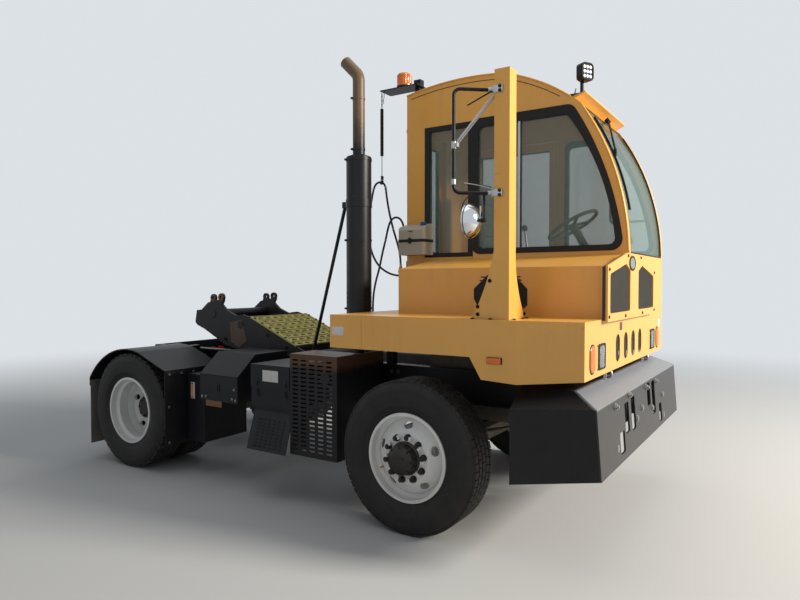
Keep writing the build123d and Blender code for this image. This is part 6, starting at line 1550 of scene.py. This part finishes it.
for i in range(7):
    across_x, across_y = (0.006, 0) if i % 2 else (0, 0.006)
    links.append([(HANG_X + across_x * math.cos(a), HANG_Y + across_y * math.cos(a),
                   3.222 + i * 0.017 + 0.012 * math.sin(a)) for a in [2 * math.pi * k / 12 for k in range(13)]])
wires("hanger_chain", links, 0.0018, STEEL, sides=6)
wires("lamp_plate_wire", [rounded([(HANG_X + x, HANG_Y + y, z) for x, y, z in (
    (0.022, 0, 3.349), (0.024, 0, 3.30), (0.012, 0.004, 3.272), (0.020, 0, 3.245))], 0.01)], 0.0028, SEAL)
ties = Blank()
for spot, way in (((0.100, -0.052, 2.511), (0.1, 0, 1)), ((0.230, -0.054, 2.511), (0.1, 0, -1)),
                  ((0.215, -0.034, 2.050), (0.25, 0, 1)), ((0.310, -0.056, 2.140), (0.3, 0, -1))):
    ties.turned(spot, way, [(-0.004, 0.0091), (-0.004, 0.0108), (0.004, 0.0108), (0.004, 0.0091)],
                sides=18, closed=True)
ties.done("hose_clips", STEEL)

# %% Couplings on the hose ends
for tag, spot, back in (("supply_top", LONG_LINE[0], UP), ("service_top", SHORT_LINE[0], UP),
                        ("supply_low", LONG_LINE[-1], X_WAY), ("service_low", SHORT_LINE[-1], UP)):
    coupling = Blank().turned(spot, back, [
        (-0.006, 0.0150), (-0.001, 0.0162), (0.010, 0.0162), (0.014, 0.0135), (0.014, 0.0093)], sides=6)
    coupling.turned(Vector(spot) + Vector(back) * 0.0145, back,
                    [(0, 0.0093), (0, 0.0112), (0.026, 0.0106), (0.028, 0.0093)], sides=20, closed=True)
    coupling.done("hose_coupling_" + tag, BRASS)

# %% [markdown]
# ## Coolant tank
# The white plastic tank on the cab's corner has a moulded seam, a black strap with its clamp and a
# blue cap. The strap is a loft that follows the tank's section a little outside it.

# %% Strap and cap
TANK_Y = -0.0543


def tank_loop(z, grow):
    return [(x + grow * push_x, TANK_Y + y - grow * push_y, z) for x, y, push_x, push_y in (
        (0.450, 0, -1, 0), (0.450, -0.121, -1, 0), (0.460, -0.142, -1, 1), (0.475, -0.146, 0, 1),
        (0.685, -0.146, 0, 1), (0.700, -0.142, 1, 1), (0.710, -0.121, 1, 0), (0.710, 0, 1, 0))]


def tank_ring(*steps):
    return Blank().loft([tank_loop(z, grow) for z, grow in steps])


strap = tank_ring((2.010, 0.0004), (2.010, 0.003), (2.034, 0.003), (2.034, 0.0004))
strap.box((0.560, TANK_Y - 0.160, 2.002), (0.590, TANK_Y - 0.149, 2.042), 0.003)
strap.bar((0.575, TANK_Y - 0.155, 1.998), (0.575, TANK_Y - 0.155, 2.050), 0.004, 8, 0.001)
strap.done("tank_strap", SEAL)
tank_ring((1.990, 0.0002), (1.9905, 0.0022), (1.9935, 0.0022), (1.994, 0.0002)).done("tank_seam", TANK)
cap = Blank().turned((0.650, TANK_Y - 0.056, 2.150), UP, [
    (0, 0.0245), (0.002, 0.0270), (0.024, 0.0265), (0.0295, 0.024), (0.0297, 0)], sides=36)
cap.bar((0.560, TANK_Y - 0.152, 2.100), (0.600, TANK_Y - 0.152, 2.100), 0.004, 8).done("tank_cap", BLUE)

# %% [markdown]
# ## Boom
# The raised boom is greasy black plate with rust where chains and kingpin plates rub. Its upper
# ears carry short steel bushes, its deck is olive grip plank with rows of raised teeth, and a
# bolted border runs down each side. Teeth and bolts repeat, so they come from trees, and they ride
# on the boom's own body.

# %% Teeth of the deck
BOOM_X, BOOM_Z = ahead(-1.600), 0.985
LOW, HIGH = Vector((BOOM_X - 0.060, 0, BOOM_Z + 0.111)), Vector((BOOM_X - 0.638, 0, BOOM_Z + 0.357))
UP_SLOPE = (HIGH - LOW).normalized()
OFF_DECK = Vector((UP_SLOPE.z, 0, -UP_SLOPE.x))
SLOPE = (HIGH - LOW).length
TOOTH_ROWS, TEETH_IN_ROW, TOOTH_PITCH = 32, 56, 0.0132


def tooth_shape(tree, size):
    sizes = {"Vertices": 5, "Radius Top": size["Top"], "Radius Bottom": size["Foot"], "Depth": size["Height"]}
    return make(tree, "GeometryNodeMeshCone", sizes).outputs["Mesh"]


TEETH = repeat_tree("grip_teeth", {"Top": 0.002, "Foot": 0.005, "Height": 0.006}, tooth_shape)
teeth = []
for row in range(TOOTH_ROWS):
    along = 0.014 + row * (SLOPE - 0.028) / (TOOTH_ROWS - 1)
    if abs((along - 0.006) / ((SLOPE - 0.012) / 4) % 1.0 - 0.5) > 0.44:
        continue
    for i in range(TEETH_IN_ROW):
        y = -0.365 + i * TOOTH_PITCH + TOOTH_PITCH / 2 * (row % 2)
        if abs((y + 0.40) / 0.100 % 1.0 - 0.5) < 0.36 and row % 4 in (1, 2):
            continue
        teeth.append((LOW + UP_SLOPE * along + OFF_DECK * 0.0105 + Vector((0, y, 0)), OFF_DECK, Y_WAY))
repeated("deck_teeth", TEETH, teeth, GRATING, "boom", top=0.0016, foot=0.0044, height=0.005)
bolts("deck_border_bolts", [LOW + UP_SLOPE * (0.05 + i * (SLOPE - 0.10) / 5) + OFF_DECK * 0.014
                            + Vector((0, side * 0.384, 0)) for side in (-1, 1) for i in range(6)],
      OFF_DECK, UP_SLOPE, HUB, 0.020, 0.007, body="boom")

# %% Bushes, pin ends and plates of the boom
ARM_Y = 0.3903
bushes, pins, patch, boom_bolts = Blank(), Blank(), Blank(), []
for side in (-1, 1):
    out = (0, side, 0)
    for x, z, radius in ((-1.071, 0.546, 0.040), (-1.186, 0.540, 0.038)):
        bushes.turned((BOOM_X + x, side * 0.376, BOOM_Z + z), (0, -side, 0), [
            (-0.0012, 0.0175), (-0.0012, radius - 0.004), (0.0004, radius - 0.001), (0.0006, 0.0175)],
            sides=28, closed=True)
    for x, z, radius, face in ((-1.190, 0.380, 0.045, 0.3765), (0, 0, 0.034, 0.3905),
                               (-0.780, 0.285, 0.038, 0.3905)):
        pins.turned((BOOM_X + x, side * face, BOOM_Z + z), out, [
            (0, radius), (0.003, radius), (0.0055, radius - 0.003), (0.0055, 0)], sides=28)
    patch.plate([(BOOM_X + x, side * ARM_Y, BOOM_Z + z) for x, z in (
        (-0.930, 0.300), (-0.760, 0.335), (-0.690, 0.14), (-0.800, 0.060), (-0.905, 0.11))],
        (0, side * 0.0022, 0))
    for x, z in ((-0.30, 0.02), (-0.18, 0.10), (-0.42, 0.20), (-0.56, 0.06), (-1.00, 0.14)):
        boom_bolts.append(((BOOM_X + x, side * 0.3902, BOOM_Z + z), out, X_WAY))
bushes.done("ear_bushes", RUST, "boom")
pins.done("boom_pin_ends", BOOM, "boom")
patch.done("boom_wear_plates", RUST_PATCH, "boom", smooth=20)
repeated("boom_plate_bolts", NUTS, boom_bolts, BOOM, "boom", across=0.024, height=0.010)

# %% [markdown]
# ## Boxes, guard and steps of the sides
# The battery box has draw latches and a blank plate, the tool box a hinge line and a latch, the
# guard a round port and the hydraulic tank a sight glass. The latch hooks and the plate sit on the
# battery lid, so they move with its body.

# %% Latches and plates
lid_parts, box_parts = Blank(), Blank()
for x in (-0.286, 0.0135):
    lid_parts.box((x - 0.012, -1.1035, 0.885), (x + 0.012, -1.1002, 0.925), 0.001)
    lid_parts.box((x - 0.007, -1.1110, 0.868), (x + 0.007, -1.1036, 0.898), 0.002)
    box_parts.box((x - 0.014, -1.1000, 0.775), (x + 0.014, -1.0943, 0.835), 0.001)
    box_parts.bar((x, -1.1040, 0.790), (x, -1.1040, 0.838), 0.0050, 10, 0.001)
lid_parts.done("battery_latch_hooks", SEAL, "battery_lid")
box_parts.done("battery_latches", SEAL)
plate = Blank().box((-0.225, -1.1016, 0.902), (-0.060, -1.1002, 0.990), 0.0006)
plate.done("blank_battery_plate", BLANK, "battery_lid")
tools = Blank().bar((-0.955, -1.1005, 0.9055), (-0.520, -1.1005, 0.9055), 0.0050, 10)
tools.box((-0.758, -1.1045, 0.770), (-0.722, -1.1002, 0.835), 0.002)
tools.bar((-0.740, -1.1085, 0.780), (-0.740, -1.1085, 0.828), 0.005, 10, 0.001).done("toolbox_latch", SEAL)
bolts("toolbox_bolts", [(x, RIGHT_BOLT_Y, z) for x, z in ((-0.935, 0.715), (-0.573, 0.725), (-0.535, 0.715),
                                                      (-0.889, 0.719), (-0.549, 0.801))],
      RIGHT, X_WAY, STEEL, 0.015, 0.006)
Blank().box((-0.895, -1.0990, 0.640), (-0.700, -1.0950, 0.6895), 0.001).done("toolbox_reflector", RUST)

# %% Guard port and tank glass
Blank().turned((0.408, -1.1003, 0.971), RIGHT, [
    (-0.0001, 0.0), (0.0, 0.046), (0.0030, 0.046), (0.0036, 0.044), (0.0036, 0.036), (0.0010, 0.034),
    (0.0010, 0.0)], sides=32).done("guard_port", SEAL)
Blank().box((-1.205, -1.0035, 0.655), (-1.155, -1.0002, 0.800), 0.001).done("sight_glass_plate", BLANK)
# the amber lens finish glows faintly here too: painted glow on a part that is no lamp
tube = Blank().bar((-1.180, -1.0085, 0.672), (-1.180, -1.0085, 0.784), 0.0060, 14, 0.001)
tube.done("sight_glass_tube", AMBER)
ends = Blank()
for z in (0.664, 0.784):
    ends.box((-1.191, -1.0165, z), (-1.169, -1.0037, z + 0.012), 0.002)
ends.turned((-1.150, -0.80, 0.8722), UP, [(0, 0.045), (0.018, 0.044), (0.024, 0.040), (0.024, 0)], sides=24)
ends.done("tank_fittings", STEEL)

# %% Slots and grips of the steps
STEP_RUN = Vector((0, -0.09, -0.295)).normalized()
STEP_OUT = Vector((0, -0.295, 0.09)).normalized()


def slot_shape(tree, size):
    return make(tree, "GeometryNodeMeshCube", {"Size": extent(tree, size)}).outputs["Mesh"]


SLOTS = repeat_tree("pressed_slots", {"Long": 0.03, "Wide": 0.01, "Deep": 0.002}, slot_shape)
# black marks paint the shade in the step's slots
step_slot_shade_marks = [(Vector((-0.285 + i * 0.052, -1.0755, 0.625)) + STEP_RUN * (0.030 + row * 0.026)
               + STEP_OUT * 0.0008, STEP_OUT, X_WAY) for row in range(9) for i in range(6)]
repeated("step_slot_shade_marks", SLOTS, step_slot_shade_marks, SEAL, long=0.034, wide=0.009, deep=0.0016)
LEFT_STEPS = ((0.440, 0.850, 1.095), (0.790, 0.760, 1.068), (1.137, 0.520, 1.040))  # height, inner, outer
left_treads = [((0.095 + i * 0.039, inner_y + 0.025 + row * 0.028, z + 0.0008), UP, X_WAY)
               for z, inner_y, outer_y in LEFT_STEPS
               for row in range(int((outer_y - inner_y - 0.03) / 0.028)) for i in range(11)]
repeated("left_step_grips", SLOTS, left_treads, STEEL, long=0.024, wide=0.007, deep=0.0024)

# %% Fuel tank straps and cap
FUEL_Y, FUEL_Z = 0.798, 0.760
fuel = Blank()
for x, radius, thick, width in ((-0.66, 0.2703, 0.0032, 0.06), (-0.20, 0.2703, 0.0032, 0.06),
                                (-0.8115, 0.2705, 0.0020, 0.0014), (0.0102, 0.2705, 0.0020, 0.0014)):
    band(fuel, (x, FUEL_Y, FUEL_Z), X_WAY, radius, thick, width, 64)
fuel.turned((-0.40, FUEL_Y + 0.10, FUEL_Z + 0.240), (0, 0.36, 0.93), [
    (0, 0.052), (0.022, 0.052), (0.026, 0.048), (0.030, 0.030), (0.030, 0)], sides=28)
fuel.done("fuel_tank_straps", STEEL)

# %% [markdown]
# ## Fenders
# The fender sheets have a rolled outer edge that is scraped bare, and a bolted angle at each end.
# The roll follows the sheet's own arc.

# %% Fender edges
ARC_Z, ARC_RADIUS, REAR_END, FRONT_FACE = 0.345, 0.730, 0.5848, 0.5490
fender_arc = arc_through(*[(REAR_AXLE + x, ARC_Z + math.sqrt(ARC_RADIUS ** 2 - x ** 2))
                           for x in (-0.5908, -0.200, 0.160)], 22)
edge_lines, fender_bolts, angle = [], [], Blank()
for side in (-1, 1):
    y = side * 1.2205
    edge_lines.append([(x, y, z - 0.0050) for x, z in fender_arc] + [(REAR_AXLE + 0.540, y, 0.9115)])
    low, high = sorted((side * 0.640, side * 1.215))
    angle.box((REAR_AXLE + 0.5452, low, 0.858), (REAR_AXLE + FRONT_FACE, high, 0.905), 0.001)
    angle.box((REAR_AXLE - 0.5896, low, 0.690), (REAR_AXLE - REAR_END, high, 0.735), 0.001)
    for i in range(5):
        y = side * (0.68 + i * 0.125)
        fender_bolts += [(REAR_AXLE + FRONT_FACE, y, 0.882), (REAR_AXLE - REAR_END, y, 0.712)]
    fender_bolts += [(REAR_AXLE + 0.5452, side * 1.185, z) for z in (0.60, 0.29)]
wires("fender_rolls", edge_lines, 0.0042, STEEL_EDGE)
angle.done("fender_angles", BLACK)
bolts("fender_bolts", fender_bolts, X_WAY, Y_WAY, STEEL, 0.016, 0.006)

# %% Bumper bolts, hooks and frame bolts
# The face leans back, so the bolts stand less far out towards its top.
for name, height, stud, spots in (
        ("bumper_bolts", 0.014, 0.010, ((-0.800, 0.930), (-0.450, 0.950), (0.050, 0.930), (0.380, 0.930))),
        ("bumper_low_bolts", 0.0110, 0.0, ((-0.280, 0.770), (0.210, 0.760), (0.600, 0.800), (-0.116, 0.812))),
        ("bumper_flat_bolts", 0.0028, 0.0, ((-0.790, 0.680), (0.620, 0.640)))):
    bolts(name, [(ahead(1.2502) + 0.030 * (0.975 - z) / 0.395, y, z) for y, z in spots], (1, 0, 0.08), Y_WAY,
          STEEL, 0.034, height, stud)
hooks = []
for y in (-0.480, 0.625):
    hooks.append(rounded([(ahead(x), y, z) for x, z in (
        (1.100, 1.052), (1.100, 1.100), (1.148, 1.100), (1.152, 1.062), (1.120, 1.053))], 0.028))
    hooks.append(rounded([(ahead(x), y + 0.045, z) for x, z in (
        (1.100, 1.052), (1.100, 1.095), (1.140, 1.095))], 0.028))
wires("front_hooks", hooks, 0.0085, STEEL, sides=12)
BOLT_X = (-2.32, -2.26, -1.93, -1.87, -1.75, -1.69, -1.30, -1.24, -0.95, 0.55, 0.61, 1.65, 1.71, 2.05, 2.11)
frame_bolts = [((x, side * 0.4321, z), (0, side, 0), X_WAY)
               for side in (-1, 1) for x in BOLT_X for z in (0.84, 0.96)]
repeated("frame_bolts", NUTS, frame_bolts, AXLE, across=0.026, height=0.012, stud=0.006)

# %% Brake chambers
FRONT_CHAMBER = [(0, 0.060), (0.010, 0.072), (0.050, 0.076), (0.056, 0.082), (0.066, 0.082), (0.072, 0.076),
                 (0.110, 0.066), (0.118, 0.040), (0.118, 0)]
REAR_CHAMBER = [(0, 0.060), (0.010, 0.074), (0.060, 0.078), (0.068, 0.085), (0.080, 0.085), (0.088, 0.078),
                (0.170, 0.078), (0.178, 0.070), (0.180, 0)]
for name, x, y, z, along, profile in (
        ("front_brake_chambers", ahead(0.10), 0.735, 0.585, X_WAY, FRONT_CHAMBER),
        ("rear_brake_chambers", REAR_AXLE + 0.13, 0.30, 0.600, (1, 0, 0.1), REAR_CHAMBER)):
    chambers = Blank()
    for side in (-1, 1):
        chambers.turned((x, side * y, z), along, profile, sides=32)
    chambers.done(name, AXLE)
